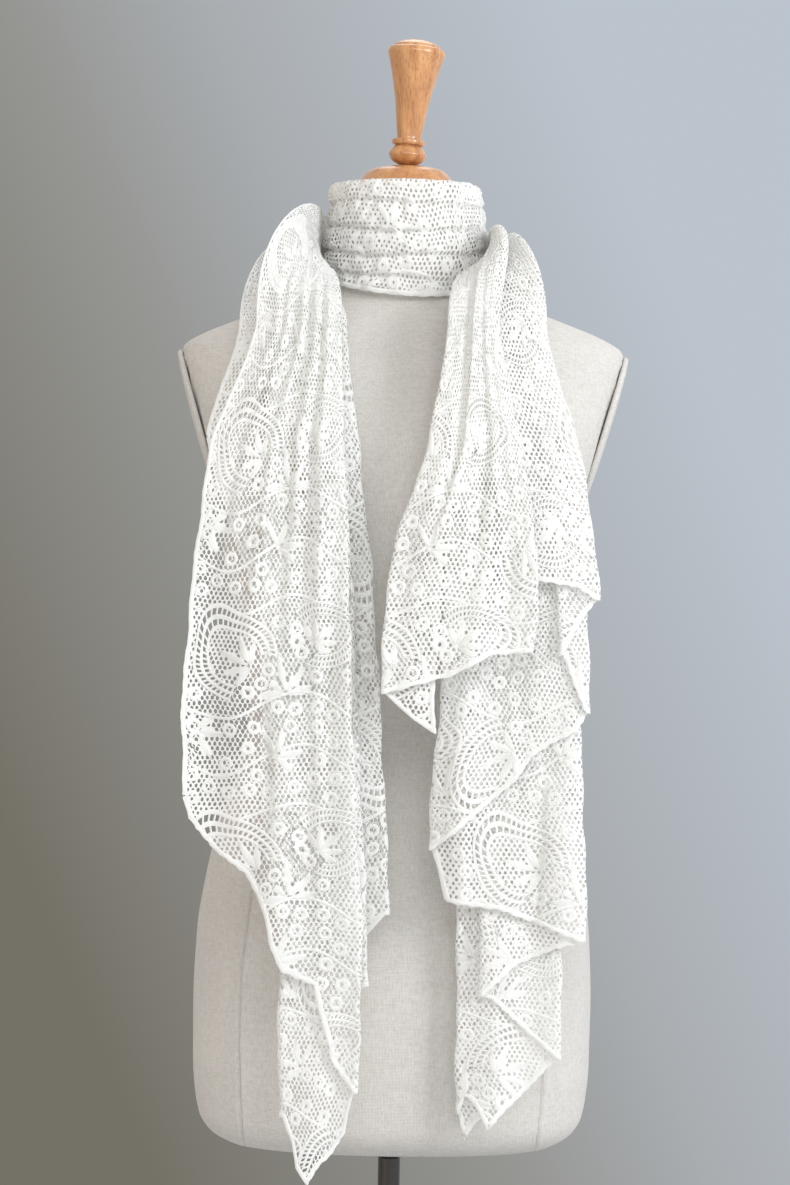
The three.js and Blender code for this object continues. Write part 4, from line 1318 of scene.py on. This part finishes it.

# Soft surroundings: warm and darker on the left, pale and cool on the right
# Backdrop seen by the camera, with painted shade: darker and warmer on the left, lighter to the right and
# upward
BACKDROP_PAINTED_SHADE_TONES = [(0.36, (0.175, 0.165, 0.135)), (0.46, (0.30, 0.30, 0.285)), (0.52, (0.40, 0.42, 0.44)),
              (0.62, (0.50, 0.55, 0.61))]
ROOM_TONES = [(0.0, (0.48, 0.43, 0.375)), (0.5, (0.60, 0.60, 0.61)), (1.0, (0.66, 0.69, 0.73))]
WALL_UPWARD = 0.45
ROOM_STRENGTH = 1.25
world = bpy.data.worlds.new("studio")
world.use_nodes = True
room = world.node_tree
direction = add_node(room, "TexCoord", {}).outputs["Generated"]


def across_room(upward, spread):
    """0 to 1 from left to right, and a little from bottom to top."""
    along = add_node(room, "VectorMath", {0: direction, 1: (spread, 0, upward)}, operation="DOT_PRODUCT")
    return add_node(room, "Math", {0: along.outputs["Value"], 1: 0.5}, operation="ADD").outputs["Value"]


seen = room.nodes["Background"]
connect(seen, {"Color": ramp(room, across_room(WALL_UPWARD, 1.0), BACKDROP_PAINTED_SHADE_TONES)})
shed = add_node(room, "Background", {
    "Color": ramp(room, across_room(0.0, 0.5), ROOM_TONES),
    "Strength": ROOM_STRENGTH,
})
either = add_node(room, "MixShader", {
    0: add_node(room, "LightPath", {}).outputs["Is Camera Ray"],
    1: shed.outputs["Background"],
    2: seen.outputs["Background"],
})
connect(room.nodes["World Output"], {"Surface": either.outputs["Shader"]})
bpy.context.scene.world = world


def area_light(name, place, target, size, power, color):
    data = bpy.data.lights.new(name, "AREA")
    data.shape = "RECTANGLE"
    data.size, data.size_y = size
    data.energy = power
    data.color = color
    obj = bpy.data.objects.new(name, data)
    obj.location = place
    obj.rotation_euler = (Vector(target) - Vector(place)).to_track_quat("-Z", "Y").to_euler()
    bpy.context.scene.collection.objects.link(obj)


area_light("key", (2.1, -2.0, 2.2), (0, 0, 1.1), (1.0, 1.6), 53, (0.965, 0.985, 1.0))
area_light("fill", (-2.4, -2.0, 1.2), (0, 0, 0.9), (1.6, 2.0), 7, (1.0, 0.84, 0.68))
area_light("front", (0.2, -3.2, 2.7), (0, 0, 1.15), (1.6, 1.2), 31, (0.965, 0.985, 1.0))
area_light("top", (0, 1.5, 3.3), (0, 0, 1.2), (1.4, 1.2), 9, (1.0, 1.0, 1.0))

# Level camera 3 m in front, with 0.86 mm of the form to a pixel, leaning one degree
PICTURE = (790, 1185)
CAMERA_DISTANCE = 3.0
PIXEL = 0.86 * MM
CENTRE = (-0.0034, 1.0795)
ROLL = math.radians(1.0)
camera_data = bpy.data.cameras.new("camera")
camera_data.sensor_fit = "AUTO"
camera_data.sensor_width = 36
camera_data.lens = camera_data.sensor_width * CAMERA_DISTANCE / (PICTURE[1] * PIXEL)
camera = bpy.data.objects.new("camera", camera_data)
right = Vector((math.cos(ROLL), 0, math.sin(ROLL)))
up = Vector((-math.sin(ROLL), 0, math.cos(ROLL)))
back = right.cross(up)
camera.matrix_world = Matrix((
    (right.x, up.x, back.x, CENTRE[0]),
    (right.y, up.y, back.y, -CAMERA_DISTANCE),
    (right.z, up.z, back.z, CENTRE[1]),
    (0, 0, 0, 1),
))
bpy.context.scene.collection.objects.link(camera)
bpy.context.scene.camera = camera
bpy.context.scene.view_settings.view_transform = "Standard"
